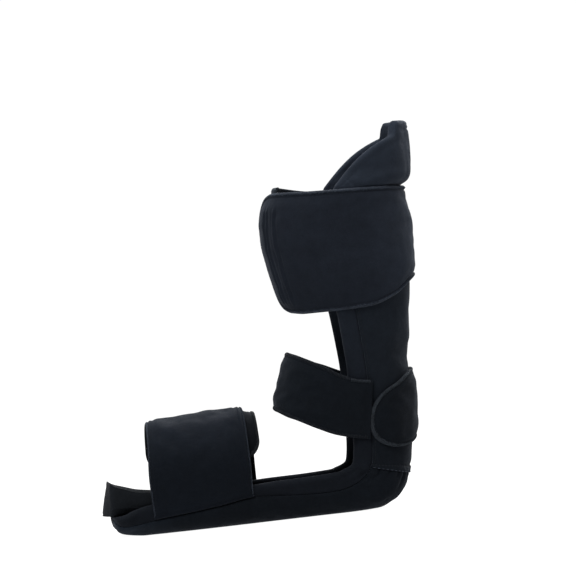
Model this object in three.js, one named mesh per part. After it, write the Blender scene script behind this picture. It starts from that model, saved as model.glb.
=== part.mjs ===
// Plantar fasciitis night splint: a padded L-shaped boot, open at the toes and along the shin, with a
// calf strap, an ankle strap, a foot strap and a loose foam wedge that lifts the toes.
// Millimetres, +Z up, toes towards -X, the wearer's inner ankle towards -Y.
// The origin is on the floor, under the ankle, in the plane that halves the boot.
import * as THREE from "three";

// Boot sizes
const toeReach = 221; // origin to the toe end of the sole
const heelReach = 63; // origin to the back of the heel
const bootHeight = 356; // floor to the top of the calf back
const calfLean = 27; // how far the calf back leans behind the heel at its top
const ballWidth = 108; // padded shell, across the ball of the foot
const ankleWidth = 80; // padded shell, across the heel and ankle
const calfWidth = 124; // padded shell, across the calf
const calfBowl = 54; // depth of the rounded back of the calf
const heelBowl = 30; // depth of the rounded back of the heel
const soleCorner = 15; // round between the sole and its side walls
const toeRound = 14; // how high the underside curves up at the toe end
const bedLevel = 18; // floor to the surface that the foot stands on
const sideWallTop = 37; // floor to the top of the side walls beside the heel
const wallThickness = 9; // padding of the side walls and the calf
const heelFlat = 10; // where the side walls start to turn up, behind the toes of the origin
const heelRise = 80; // floor to where the heel has become the calf
const ankleEdge = 7.5; // origin to the front edge of the calf wall at the ankle
const wingReach = 14; // how far the calf wings reach forward of that edge under the strap
const liningRound = 6; // least round inside, between the sole and its side walls
const rimCrown = 4; // depth over which the padding rounds off at its rim

// Fabric layers
const gap = 0.3; // clearance between pieces that touch
const strapGap = 0.9; // clearance between a strap and what it lies on
const coverThickness = 2.5; // outer fabric of the sole and of the calf back
const borderWidth = 17.5; // padding that shows between the rim and the outer fabric
const strapThickness = 4.5;
const skin = gap + coverThickness; // what the outer fabric adds to the shell

// Straps
const calfStrapDrop = 58; // top of the calf back to the strap's upper edge
const calfStrapHeight = 111; // at the front
const calfStrapBulge = 43; // origin to the wearer's shin inside the calf strap
const calfNose = 55; // depth of the rounded front inside the calf strap
const ankleStrapLevel = 127; // middle of the strap in front of the ankle
const ankleStrapWidth = 56;
const ankleFront = 46; // origin to the instep inside the ankle strap, at that level
const ankleRake = 0.34; // how far the instep leans back over each millimetre of height
const ankleNose = 46;
const footStrapWidth = 90;
const footStrapBack = 91; // origin to the heel-side edge of the foot strap
const footStrapSwell = 2.5; // how far its toe-side edge bulges beside the foot
const footStrapFlare = 3.5; // how much further that edge reaches at the near seam
const footStrapCrest = 97.5; // floor to the instep inside the foot strap
const footStrapOverhang = 11; // how far the inner tab shows behind the outer strap

// Toe wedge
const wedgeLength = 120;
const wedgeHeight = 30.5;
const wedgeTail = 1.5; // its thickness at the end that points to the heel
const wedgeOverhang = 8.5; // how far it stands out past the sole
const wedgeLean = 8.5; // how far its front leans back from the bottom to the top
const wedgeWidth = 81;
const wedgeToeWidth = 75;
const wedgeTailTaper = 8; // how much it narrows on each side towards that end
const wedgeLift = 2; // how much its toe end is lifted by the rim that it lies on

const fabric = (color) =>
  new THREE.MeshStandardMaterial({ color, roughness: 0.95, metalness: 0 });
const brushedFabric = fabric(0x1c2027);
const linerFabric = fabric(0x22262b);
const coverFabric = fabric(0x191e24);
const foamCloth = fabric(0x232022);

// Shares of the foot sizes at the sections from the toe end to the heel: distance along the foot,
// how far the underside is lifted, rim height, width, and how far up the wall the outer fabric ends.
const FOOT = [
  { along: 1.0, lift: 0.97, rim: 0.53, width: 0.58, seam: 0.45 },
  { along: 0.994, lift: 0.6, rim: 0.53, width: 0.68, seam: 0.38 },
  { along: 0.98, lift: 0.36, rim: 0.54, width: 0.79, seam: 0.3 },
  { along: 0.955, lift: 0.18, rim: 0.566, width: 0.87, seam: 0.31 },
  { along: 0.92, lift: 0.07, rim: 0.65, width: 0.92, seam: 0.365 },
  { along: 0.87, lift: 0, rim: 0.73, width: 0.95, seam: 0.405 },
  { along: 0.79, lift: 0, rim: 0.8, width: 0.98, seam: 0.444 },
  { along: 0.68, lift: 0, rim: 0.87, width: 1.0, seam: 0.483 },
  { along: 0.56, lift: 0, rim: 0.93, width: 0.98, seam: 0.544 },
  { along: 0.42, lift: 0, rim: 0.97, width: 0.92, seam: 0.655 },
  { along: 0.3, lift: 0, rim: 1.0, width: 0.85, seam: 0.6 },
  { along: 0.19, lift: 0, rim: 1.01, width: 0.8, seam: 0.545 },
  { along: 0.1, lift: 0, rim: 1.03, width: 0.77, seam: 0.52 },
];

// Shares at the sections that fan round the heel: the outline runs back and up from the sole, and
// the rim runs round the inner corner.
const HEEL = [
  { back: 0.0, up: 0.0, rimBack: 0.0, rimUp: 0.0, turn: 0.0 },
  { back: 0.22, up: 0.0, rimBack: 0.21, rimUp: 0.03, turn: 0.06 },
  { back: 0.45, up: 0.006, rimBack: 0.37, rimUp: 0.052, turn: 0.16 },
  { back: 0.65, up: 0.065, rimBack: 0.52, rimUp: 0.075, turn: 0.3 },
  { back: 0.79, up: 0.175, rimBack: 0.63, rimUp: 0.097, turn: 0.46 },
  { back: 0.885, up: 0.35, rimBack: 0.72, rimUp: 0.122, turn: 0.62 },
  { back: 0.922, up: 0.46, rimBack: 0.8, rimUp: 0.16, turn: 0.78 },
  { back: 0.955, up: 0.6, rimBack: 0.91, rimUp: 0.39, turn: 0.9 },
  { back: 0.985, up: 0.79, rimBack: 0.97, rimUp: 0.706, turn: 0.97 },
];

// Shares at the level sections of the calf: height, lean of the back, width, depth of the round back
// and how far the wings reach forward.
const CALF = [
  { height: 0.227, lean: 0.13, width: 0.0, bowl: 0.0, wing: 0.0 },
  { height: 0.283, lean: 0.17, width: 0.0, bowl: 0.1, wing: -0.02 },
  { height: 0.363, lean: 0.19, width: 0.06, bowl: 0.25, wing: -0.03 },
  { height: 0.44, lean: 0.33, width: 0.18, bowl: 0.42, wing: 0.09 },
  { height: 0.525, lean: 0.48, width: 0.38, bowl: 0.62, wing: 0.3 },
  { height: 0.595, lean: 0.58, width: 0.62, bowl: 0.8, wing: 0.6 },
  { height: 0.665, lean: 0.64, width: 0.84, bowl: 0.95, wing: 0.9 },
  { height: 0.735, lean: 0.63, width: 0.95, bowl: 1.0, wing: 0.85 },
  { height: 0.795, lean: 0.55, width: 0.98, bowl: 1.0, wing: 0.45 },
  { height: 0.828, lean: 0.57, width: 1.0, bowl: 1.0, wing: 0.04 },
];

// Shares at the sections of the flap above the calf strap: they fan up from the wings' front corners
// to the slanting top edge, which bows upwards and is level over the back.
const FLAP = [
  { back: 0.1, lean: 0.85, wing: -0.02, rise: 0.0, bow: 0.1 },
  { back: 0.33, lean: 1.1, wing: -0.1, rise: 0.02, bow: 0.35 },
  { back: 0.62, lean: 1.16, wing: -0.21, rise: 0.05, bow: 0.65 },
  { back: 0.9, lean: 1.15, wing: -0.34, rise: 0.1, bow: 0.92 },
  { back: 1.0, lean: 1.13, wing: -0.4, rise: 0.13, bow: 1.0 },
];
const flapBow = 8; // how far the top edge bows above a straight line
const flapStep = 7; // how far the level top of the back stands above the slanting edge
const flapStepStart = 11; // where the level top starts to fall, inwards of the outside of the back
const flapStepEnd = 19;

// Where the calf strap lies, by its share of the way round from the back (0) by the near side to the
// front (1): its lower edge as a share of its height below the top, its top edge's fall, and its
// stand-off over the strap beneath.
const CALF_STRAP = [
  { round: -0.43, low: 0.87, high: 0.025, over: 0.0 },
  { round: -0.25, low: 0.82, high: 0.025, over: 0.0 },
  { round: 0.0, low: 0.78, high: 0.025, over: 0.0 },
  { round: 0.14, low: 0.82, high: 0.018, over: 0.0 },
  { round: 0.28, low: 0.92, high: 0.01, over: 0.0 },
  { round: 0.44, low: 0.99, high: 0.002, over: 0.0 },
  { round: 0.6, low: 1.0, high: -0.006, over: 0.0 },
  { round: 0.71, low: 1.0, high: -0.014, over: 0.15 },
  { round: 0.8, low: 1.0, high: -0.023, over: 0.8 },
  { round: 0.86, low: 0.99, high: -0.026, over: 1.06 },
  { round: 1.03, low: 0.96, high: -0.02, over: 1.03 },
];

// The shin inside the calf strap, as shares of the bulge, down the strap's height.
const CALF_FRONT = [
  { drop: -0.06, front: 0.78 },
  { drop: 0.045, front: 0.88 },
  { drop: 0.13, front: 0.95 },
  { drop: 0.25, front: 1.0 },
  { drop: 0.37, front: 1.0 },
  { drop: 0.56, front: 0.935 },
  { drop: 0.775, front: 0.82 },
  { drop: 0.92, front: 0.72 },
  { drop: 1.0, front: 0.64 },
];
const calfStrapTop = bootHeight - calfStrapDrop;
const calfTabCorner = 27; // round of the calf strap's free corners
const underlapRise = 8; // how far the strap beneath stands above the calf strap's upper edge
const underlapLow = 0.8; // share of the calf strap's height that it covers
const underlapStart = 1.555;
const underlapEnd = 0.88;

// Where the ankle strap lies, by its share of the way round from the back (0) by the near side to
// the front (1), the far side and the back again (2): shares of its level in front and of its width.
const ANKLE_STRAP = [
  { round: 0.385, middle: 0.733, width: 0.96 },
  { round: 0.46, middle: 0.75, width: 0.95 },
  { round: 0.55, middle: 0.79, width: 0.98 },
  { round: 0.65, middle: 0.858, width: 1.01 },
  { round: 0.76, middle: 0.925, width: 0.99 },
  { round: 0.88, middle: 0.978, width: 0.95 },
  { round: 1.0, middle: 1.0, width: 0.92 },
  { round: 1.12, middle: 0.978, width: 0.95 },
  { round: 1.24, middle: 0.925, width: 0.99 },
  { round: 1.38, middle: 0.858, width: 1.01 },
  { round: 1.55, middle: 0.775, width: 1.0 },
  { round: 1.78, middle: 0.75, width: 1.08 },
  { round: 2.0, middle: 0.745, width: 1.16 },
  { round: 2.15, middle: 0.708, width: 1.17 },
  { round: 2.26, middle: 0.672, width: 1.06 },
  { round: 2.392, middle: 0.66, width: 1.0 },
];
const ankleTabRound = 30; // length of the ankle strap's rounded end

// A table's row at a value of its column named key, by a cubic through the rows next to it.
function rowAt(rows, key, value) {
  const last = rows.length - 1;
  let i = 0;
  while (i < last - 1 && rows[i + 1][key] < value) i += 1;
  const a = rows[i];
  const b = rows[i + 1];
  const before = rows[Math.max(i - 1, 0)];
  const after = rows[Math.min(i + 2, last)];
  const step = b[key] - a[key];
  const t = THREE.MathUtils.clamp((value - a[key]) / step, 0, 1);
  const row = {};
  for (const column of Object.keys(a)) {
    const slopeA = ((b[column] - before[column]) / (b[key] - before[key])) * step;
    const slopeB = ((after[column] - a[column]) / (after[key] - a[key])) * step;
    row[column] =
      (2 * t ** 3 - 3 * t ** 2 + 1) * a[column] +
      (t ** 3 - 2 * t ** 2 + t) * slopeA +
      (3 * t ** 2 - 2 * t ** 3) * b[column] +
      (t ** 3 - t ** 2) * slopeB;
  }
  return row;
}

const mix = THREE.MathUtils.lerp;

// The shell's sections in millimetres. outer is the point in the halving plane, rim the top of the
// wall, half the half width, corner and bowl the half-axes of the round between them, bed the
// padding under the foot or behind the leg.
const soleUnderside = skin;
const footEnd = { x: -heelFlat, rimZ: sideWallTop * 1.05, border: sideWallTop * 0.46 };
const heelBack = heelReach - skin;
const calfSpread = (calfWidth - ankleWidth) / 2;

function footStation(row) {
  const outerZ = soleUnderside + row.lift * toeRound;
  const rimZ = sideWallTop * row.rim;
  const corner = Math.min(soleCorner, rimZ - outerZ);
  return {
    outer: new THREE.Vector2(-toeReach * row.along, outerZ),
    rim: new THREE.Vector2(-toeReach * row.along, rimZ),
    half: (ballWidth / 2) * row.width,
    corner,
    bowl: corner,
    bed: bedLevel - outerZ,
    border: (rimZ - outerZ) * (1 - row.seam),
    bow: 0,
    step: 0,
    level: 0,
  };
}

function heelStation(row) {
  const calfStart = calfStation(CALF[0]);
  return {
    outer: new THREE.Vector2(
      mix(footEnd.x, calfStart.outer.x, row.back),
      mix(soleUnderside, heelRise, row.up),
    ),
    rim: new THREE.Vector2(
      mix(footEnd.x, ankleEdge, row.rimBack),
      mix(footEnd.rimZ, heelRise, row.rimUp),
    ),
    half: mix((ballWidth / 2) * 0.765, ankleWidth / 2, row.turn),
    corner: mix(soleCorner, ankleWidth / 2, row.turn),
    bowl: mix(soleCorner, heelBowl, row.turn),
    bed: mix(bedLevel - soleUnderside, wallThickness, row.turn),
    border: mix(footEnd.border, borderWidth, row.turn),
    bow: 0,
    step: 0,
    level: 0,
  };
}

function calfStation(row) {
  const z = bootHeight * row.height;
  const half = ankleWidth / 2 + calfSpread * row.width;
  return {
    outer: new THREE.Vector2(heelBack + calfLean * row.lean, z),
    rim: new THREE.Vector2(ankleEdge - wingReach * row.wing, z),
    half,
    corner: half,
    bowl: mix(heelBowl, calfBowl, row.bowl),
    bed: wallThickness,
    border: borderWidth,
    bow: 0,
    step: 0,
    level: 0,
  };
}

function flapStation(row) {
  const start = calfStation(CALF[CALF.length - 1]);
  const rise = bootHeight - flapStep - start.outer.y;
  return {
    ...start,
    step: flapStep * row.bow,
    level: row.bow,
    outer: new THREE.Vector2(heelBack + calfLean * row.lean, start.outer.y + rise * row.back),
    rim: new THREE.Vector2(ankleEdge - wingReach * row.wing, start.rim.y + rise * row.rise),
    bow: flapBow * row.bow,
  };
}

const SHELL = [
  ...FOOT.map(footStation),
  ...HEEL.map(heelStation),
  ...CALF.map(calfStation),
  ...FLAP.map(flapStation),
];
const firstHeel = FOOT.length;
const firstCalf = firstHeel + HEEL.length;

// Half of a section from its centre to its rim, as [across, inwards] points moved outwards by out:
// a flat, an elliptical corner and a straight arm.
function halfSection(station, out) {
  const height = station.rim.distanceTo(station.outer);
  const flat = Math.max(station.half - station.corner, 0);
  const points = [[0, -out]];
  for (let k = 0; k <= 24; k += 1) {
    const a = (Math.PI / 2) * (k / 24);
    const across = flat + (station.half - flat + out) * Math.sin(a);
    const inwards = station.bowl - (station.bowl + out) * Math.cos(a);
    points.push([across, Math.min(inwards, height)]);
  }
  points.push([station.half + out, height]);
  return points;
}

// The padded inner face of the same half section.
function halfLining(station) {
  const height = station.rim.distanceTo(station.outer);
  const half = station.half - wallThickness;
  const bed = Math.min(station.bed, height - 0.6);
  const bowl = Math.min(Math.max(station.bowl, bed + liningRound), height);
  const round = Math.max(station.corner - wallThickness, liningRound);
  const flat = Math.max(half - round, 0);
  const points = [[0, bed]];
  for (let k = 0; k <= 24; k += 1) {
    const a = (Math.PI / 2) * (k / 24);
    points.push([flat + (half - flat) * Math.sin(a), bowl - (bowl - bed) * Math.cos(a)]);
  }
  points.push([half, height]);
  return points;
}

// The length of a run of points.
function lengthOf(points) {
  return points.slice(1).reduce((sum, p, i) => sum + distance(points[i], p), 0);
}

function distance(a, b) {
  return Math.hypot(...a.map((value, k) => value - b[k]));
}

// The point at a share of the way along a run of points.
function pointAlong(points, share) {
  let left = lengthOf(points) * THREE.MathUtils.clamp(share, 0, 1);
  for (let i = 1; i < points.length; i += 1) {
    const step = distance(points[i - 1], points[i]);
    if (left <= step || i === points.length - 1) {
      const t = step > 0 ? left / step : 0;
      return points[i - 1].map((value, k) => mix(value, points[i][k], t));
    }
    left -= step;
  }
  return points[0];
}

// A section's [across, inwards] point in the part's frame, on one side of the halving plane. A point
// of the lining also names how far inwards the outer face is there, for the flap's level top.
function placed(station, [across, inwards, under = inwards], side) {
  const run = station.rim.clone().sub(station.outer);
  const height = run.length();
  const inward = run.normalize();
  const bow = station.bow * Math.sin(Math.PI * THREE.MathUtils.clamp(inwards / height, 0, 1));
  const x = station.outer.x + inward.x * inwards + inward.y * bow;
  const slanting = station.outer.y + inward.y * inwards - inward.x * bow;
  const levelled = 1 - THREE.MathUtils.smoothstep(under, flapStepStart, flapStepEnd);
  const z = mix(slanting, station.outer.y + station.step, levelled * station.level);
  return new THREE.Vector3(x, side * across, z);
}

// The place on a run of points that lies at a share of the way along it, as an index and a fraction.
function placeAlong(points, share) {
  let left = lengthOf(points) * THREE.MathUtils.clamp(share, 0, 1);
  for (let i = 1; i < points.length - 1; i += 1) {
    const step = distance(points[i - 1], points[i]);
    if (left <= step) return i - 1 + (step > 0 ? left / step : 0);
    left -= step;
  }
  const end = points.length - 2;
  return end + left / Math.max(distance(points[end], points[end + 1]), 1e-9);
}

function pointAtPlace(points, place) {
  const i = Math.min(Math.floor(place), points.length - 2);
  return points[i].map((value, k) => mix(value, points[i + 1][k], Math.min(place - i, 1)));
}

// A row of points across the boot from the near edge to the far one. shares are parts of the way
// from the centre to the edge of the shell's own face, which the offset face follows.
function acrossBoot(station, out, shares) {
  const face = halfSection(station, 0);
  const moved = halfSection(station, out);
  const half = shares.map((share) => pointAtPlace(moved, placeAlong(face, share)));
  return bothSides(station, half);
}

function bothSides(station, half) {
  const near = [...half].reverse().map((point) => placed(station, point, -1));
  const far = half.map((point) => placed(station, point, 1));
  return [...near, ...far];
}

// Shares from the centre to the border, which the shell and its outer fabric have in common.
const coverSteps = 7;
const centreStrip = 0.3; // share of a step that the strip down the middle reaches to each side
function coverShares(station) {
  const edge = 1 - station.border / lengthOf(halfSection(station, 0));
  const steps = Array.from({ length: coverSteps + 1 }, (_, k) => Math.max(k, centreStrip));
  return steps.map((k) => (k / coverSteps) * edge);
}

// A closed wall between two grids of points that have the same rows and columns.
function wallBetween(outer, inner) {
  const rows = outer.length;
  const columns = outer[0].length;
  const at = (side, i, j) => (side * rows + i) * columns + j;
  const index = [];
  const quad = (a, b, c, d) => index.push(a, b, c, a, c, d);
  for (let i = 1; i < rows; i += 1) {
    for (let j = 1; j < columns; j += 1) {
      quad(at(0, i - 1, j - 1), at(0, i, j - 1), at(0, i, j), at(0, i - 1, j));
      quad(at(1, i - 1, j - 1), at(1, i - 1, j), at(1, i, j), at(1, i, j - 1));
    }
    const end = columns - 1;
    quad(at(0, i - 1, 0), at(1, i - 1, 0), at(1, i, 0), at(0, i, 0));
    quad(at(0, i - 1, end), at(0, i, end), at(1, i, end), at(1, i - 1, end));
  }
  for (let j = 1; j < columns; j += 1) {
    const end = rows - 1;
    quad(at(0, 0, j - 1), at(0, 0, j), at(1, 0, j), at(1, 0, j - 1));
    quad(at(0, end, j - 1), at(1, end, j - 1), at(1, end, j), at(0, end, j));
  }
  const points = [...outer.flat(), ...inner.flat()];
  if (signedVolume(points, index) < 0) index.reverse();
  return new THREE.BufferGeometry().setFromPoints(points).setIndex(index);
}

function signedVolume(points, index) {
  let volume = 0;
  for (let k = 0; k < index.length; k += 3) {
    const [a, b, c] = [points[index[k]], points[index[k + 1]], points[index[k + 2]]];
    volume += a.dot(new THREE.Vector3().crossVectors(b, c)) / 6;
  }
  return volume;
}

// Draws two facing points together, which rounds off a padded edge.
const EDGE_SHARE = 0.4;
function pinch(outer, inner, amount) {
  const middle = outer.clone().add(inner).multiplyScalar(0.5);
  outer.lerp(middle, amount);
  inner.lerp(middle, amount);
}

// The padded L-shaped shell
function paddedShell() {
  const outer = [];
  const inner = [];
  for (const station of SHELL) {
    const shares = coverShares(station);
    const crown = 1 - rimCrown / lengthOf(halfSection(station, 0));
    shares.push(mix(shares[coverSteps], crown, 0.55), crown, 1);
    const lining = halfLining(station);
    const outside = halfSection(station, 0);
    const face = acrossBoot(station, 0, shares);
    const back = bothSides(
      station,
      shares.map((share) => [...pointAlong(lining, share), pointAlong(outside, share)[1]]),
    );
    pinch(face[0], back[0], 1 - EDGE_SHARE);
    pinch(face[face.length - 1], back[back.length - 1], 1 - EDGE_SHARE);
    outer.push(face);
    inner.push(back);
  }
  const top = SHELL.length - 1;
  for (let j = 1; j < outer[top].length - 1; j += 1) {
    pinch(outer[top][j], inner[top][j], (1 - EDGE_SHARE) / 2);
  }
  return wallBetween(outer, inner);
}

// A layer of outer fabric over some of the shell's sections, from one border to the other
function outerFabric(stations) {
  const layer = (out) => stations.map((station) => acrossBoot(station, out, coverShares(station)));
  return wallBetween(layer(skin), layer(gap));
}

// The sole's cover reaches from the toe end to the hem of the calf's panel.
const hemStation = firstHeel + 6;
function soleCover() {
  return outerFabric(SHELL.slice(0, hemStation));
}

// The calf's panel starts a little above the cover's edge and ends under the calf strap.
const panelHem = 0.6; // clearance between the panel's hem and the cover's edge
function rearPanel() {
  const last = SHELL.findIndex((station) => station.outer.y > calfStrapTop * 0.94);
  const hem = shiftedStation(SHELL[hemStation - 1], SHELL[hemStation], panelHem);
  return outerFabric([hem, ...SHELL.slice(hemStation, last)]);
}

// The station that lies a distance from one station towards the next.
function shiftedStation(from, to, move) {
  const rimMove = Math.min(from.rim.distanceTo(to.rim), from.outer.distanceTo(to.outer));
  const share = move / rimMove;
  return {
    outer: from.outer.clone().lerp(to.outer, share),
    rim: from.rim.clone().lerp(to.rim, share),
    half: mix(from.half, to.half, share),
    corner: mix(from.corner, to.corner, share),
    bowl: mix(from.bowl, to.bowl, share),
    bed: mix(from.bed, to.bed, share),
    border: mix(from.border, to.border, share),
    bow: 0,
    step: 0,
    level: 0,
  };
}

// The loop of a strap at height z, from the centre of the calf's back (0) by the near side to the
// front (1), and by the far side to the back again (2).
const LEVELS = SHELL.slice(firstCalf - 2, SHELL.length - 2).map((station) => ({
  z: station.outer.y,
  back: station.outer.x,
  half: station.half,
  bowl: station.bowl,
}));

// A row between two rows of a list, on the straight line between them.
function straightRowAt(rows, key, value) {
  const next = rows.findIndex((row, k) => k > 0 && (row[key] >= value || k === rows.length - 1));
  const a = rows[next - 1];
  const b = rows[next];
  const t = (value - a[key]) / (b[key] - a[key]);
  return Object.fromEntries(Object.keys(a).map((column) => [column, mix(a[column], b[column], t)]));
}

function loopPoints(z, out, front, nose) {
  const level = straightRowAt(LEVELS, "z", z);
  const points = [];
  for (let k = 0; k <= 20; k += 1) {
    const a = (Math.PI / 2) * (k / 20);
    const x = level.back - level.bowl + (level.bowl + out) * Math.cos(a);
    points.push([x, (level.half + out) * Math.sin(a)]);
  }
  for (let k = 0; k <= 20; k += 1) {
    const a = (Math.PI / 2) * (1 - k / 20);
    points.push([-front + nose - (nose + out) * Math.cos(a), (level.half + out) * Math.sin(a)]);
  }
  return points;
}

function onLoop(points, round, z) {
  const turned = ((round % 2) + 2) % 2;
  const side = turned <= 1 ? -1 : 1;
  const [x, y] = pointAlong(points, turned <= 1 ? turned : 2 - turned);
  return new THREE.Vector3(x, side * y, z);
}

// A strap round the leg. Each row of the spine gives its share of the way round, its lower and upper
// edge and its stand-off; the loop's front is a function of the height.
function legStrap(spine, frontAt, nose) {
  const across = 5;
  const layer = (extra) =>
    spine.map((row) =>
      Array.from({ length: across + 1 }, (_, k) => {
        const z = mix(row.low, row.high, k / across);
        return onLoop(loopPoints(z, row.out + extra, frontAt(z), nose), row.round, z);
      }),
    );
  return wallBetween(layer(strapThickness), layer(0));
}

// How much of a strap's half width is left at a distance from its rounded end.
function tabShare(fromEnd, round) {
  const t = THREE.MathUtils.clamp(1 - fromEnd / round, 0, 1);
  return Math.sqrt(1 - t * t);
}

// The shin inside the calf strap: it bulges in the middle and draws back at the lower edge.
function calfFront(z) {
  return calfStrapBulge * rowAt(CALF_FRONT, "drop", (calfStrapTop - z) / calfStrapHeight).front;
}

function calfStrapRow(round) {
  const row = rowAt(CALF_STRAP, "round", round);
  const end = CALF_STRAP[CALF_STRAP.length - 1].round;
  const halfLoop = lengthOf(loopPoints(calfStrapTop - calfStrapHeight / 2, 0, calfStrapBulge, calfNose));
  const rounding = calfTabCorner * (1 - tabShare((end - round) * halfLoop, calfTabCorner));
  return {
    round,
    low: calfStrapTop - calfStrapHeight * row.low + rounding,
    high: calfStrapTop - calfStrapHeight * row.high - rounding * 0.75,
    out: skin + strapGap + (strapThickness + strapGap) * row.over,
  };
}

// Even steps from start to end, with finer ones near a rounded end.
function spacedRounds(start, end, step, fine) {
  const count = Math.max(1, Math.round((end - fine.length * 0.02 - start) / step));
  const body = Array.from({ length: count }, (_, k) => start + k * step);
  const lastFine = end - fine[0];
  const kept = body.filter((round) => round < lastFine - step * 0.4);
  return [...kept, ...fine.map((left) => end - left)];
}

function calfStrap() {
  const start = CALF_STRAP[0].round;
  const end = CALF_STRAP[CALF_STRAP.length - 1].round;
  const rounds = spacedRounds(start, end, 0.062, [0.13, 0.09, 0.055, 0.03, 0.012, 0]);
  return legStrap(rounds.map(calfStrapRow), calfFront, calfNose);
}

function calfStrapUnderlap() {
  const count = 14;
  const spine = Array.from({ length: count + 1 }, (_, k) => {
    const round = mix(underlapStart, underlapEnd, k / count);
    return {
      round,
      low: calfStrapTop - calfStrapHeight * underlapLow,
      high: calfStrapTop + underlapRise * (1 - THREE.MathUtils.smoothstep(round, 1.1, 1.5)),
      out: skin + strapGap,
    };
  });
  return legStrap(spine, calfFront, calfNose);
}

// The instep inside the ankle strap leans back with height.
function ankleFrontAt(z) {
  return ankleFront + (ankleStrapLevel - z) * ankleRake;
}

function ankleStrap() {
  const start = ANKLE_STRAP[0].round;
  const end = ANKLE_STRAP[ANKLE_STRAP.length - 1].round;
  const halfLoop = lengthOf(loopPoints(ankleStrapLevel, 0, ankleFront, ankleNose));
  const fine = [0.19, 0.15, 0.11, 0.075, 0.045, 0.022, 0.008];
  const rounds = spacedRounds(start, end, 0.055, fine);
  const spine = rounds.map((round) => {
    const row = rowAt(ANKLE_STRAP, "round", round);
    const half = ((ankleStrapWidth * row.width) / 2) * tabShare((end - round) * halfLoop, ankleTabRound);
    const middle = ankleStrapLevel * row.middle;
    return { round, low: middle - half, high: middle + half, out: skin + strapGap };
  });
  return legStrap(spine, ankleFrontAt, ankleNose);
}

// The arch of the foot strap in the plane at x, from the near seam (0) over the instep to the far
// seam (1). out is the stand-off from the sole's wall and from the instep.
function archPoints(x, out) {
  const station = straightRowAt(FOOT_LEVELS, "x", x);
  const seam = station.seam;
  const side = station.half;
  const shoulder = sideWallTop * 1.2;
  const crest = footStrapCrest - (footStrapCrest * 0.05 * (-x - footStrapBack)) / footStrapWidth;
  const crestOffset = -side * 0.12;
  const points = [];
  for (const [face, top] of [
    [-1, 1],
    [1, -1],
  ]) {
    const half = [[face * (side + out), seam]];
    for (let k = 0; k <= 16; k += 1) {
      const a = (Math.PI / 2) * (k / 16);
      const y = crestOffset + (face * (side + out) - crestOffset) * Math.cos(a) ** 0.85;
      half.push([y, shoulder + (crest + out - shoulder) * Math.sin(a) ** 0.9]);
    }
    points.push(...(top > 0 ? half : half.reverse().slice(1)));
  }
  return points;
}

// The seam between the sole's cover and the side wall, and the wall's half width, along the foot.
const FOOT_LEVELS = SHELL.slice(0, firstHeel).map((station) => ({
  x: station.outer.x,
  half: station.half,
  seam: station.rim.y - station.border + gap * 2,
}));

// A strap over the foot between x = back - width and back. Each row gives its share of the way over,
// its stand-off and how far its toe-side and heel-side edges are drawn in.
function footBand(spine, back, width) {
  const across = 5;
  const layer = (extra) =>
    spine.map((row) =>
      Array.from({ length: across + 1 }, (_, k) => {
        const flare = footStrapFlare * (1 - THREE.MathUtils.smoothstep(row.over, 0.12, 0.3));
        const swell = footStrapSwell * Math.sin(Math.PI * Math.min(row.over * 2, 1)) ** 2 + flare;
        const x = mix(back - width - swell + row.drawnIn, back - row.drawnIn, k / across);
        const [y, z] = pointAlong(archPoints(x, row.out + extra), row.over);
        return new THREE.Vector3(x, y, z);
      }),
    );
  return wallBetween(layer(strapThickness), layer(0));
}

// The outer foot strap is sewn in at the near seam, and lies over the inner tab from there on.
const footStrapEnd = 0.86;
const footTabEnd = 0.16;
const footTabCorner = 20;
function footStrap() {
  const count = 22;
  const spine = Array.from({ length: count + 1 }, (_, k) => {
    const over = footStrapEnd * (k / count);
    const climb = THREE.MathUtils.smoothstep(over, 0.04, footTabEnd);
    return { over, out: strapGap + (strapThickness + strapGap) * climb, drawnIn: 0 };
  });
  roundEnd(spine, footStrapEnd, -1);
  return footBand(spine, -footStrapBack, footStrapWidth);
}

function footStrapTab() {
  const count = 20;
  const spine = Array.from({ length: count + 1 }, (_, k) => ({
    over: mix(1, footTabEnd, k / count),
    out: strapGap,
    drawnIn: 0,
  }));
  roundEnd(spine, footTabEnd, 1);
  return footBand(spine, -footStrapBack + footStrapOverhang, footStrapWidth * 0.9);
}

// Draws in the edges of a foot band's last rows, which rounds its free corners.
function roundEnd(spine, end, towards) {
  const archLength = lengthOf(archPoints(-footStrapBack - footStrapWidth / 2, 0));
  const last = spine[spine.length - 1];
  for (const fromEnd of [0.6, 0.3, 0.1]) {
    const over = end + (towards * fromEnd * footTabCorner) / archLength;
    spine.splice(spine.length - 1, 0, { ...last, over });
  }
  spine.sort((a, b) => towards * (b.over - a.over));
  for (const row of spine) {
    const fromEnd = Math.abs(row.over - end) * archLength;
    row.drawnIn = footTabCorner * (1 - tabShare(fromEnd, footTabCorner));
  }
}

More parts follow.
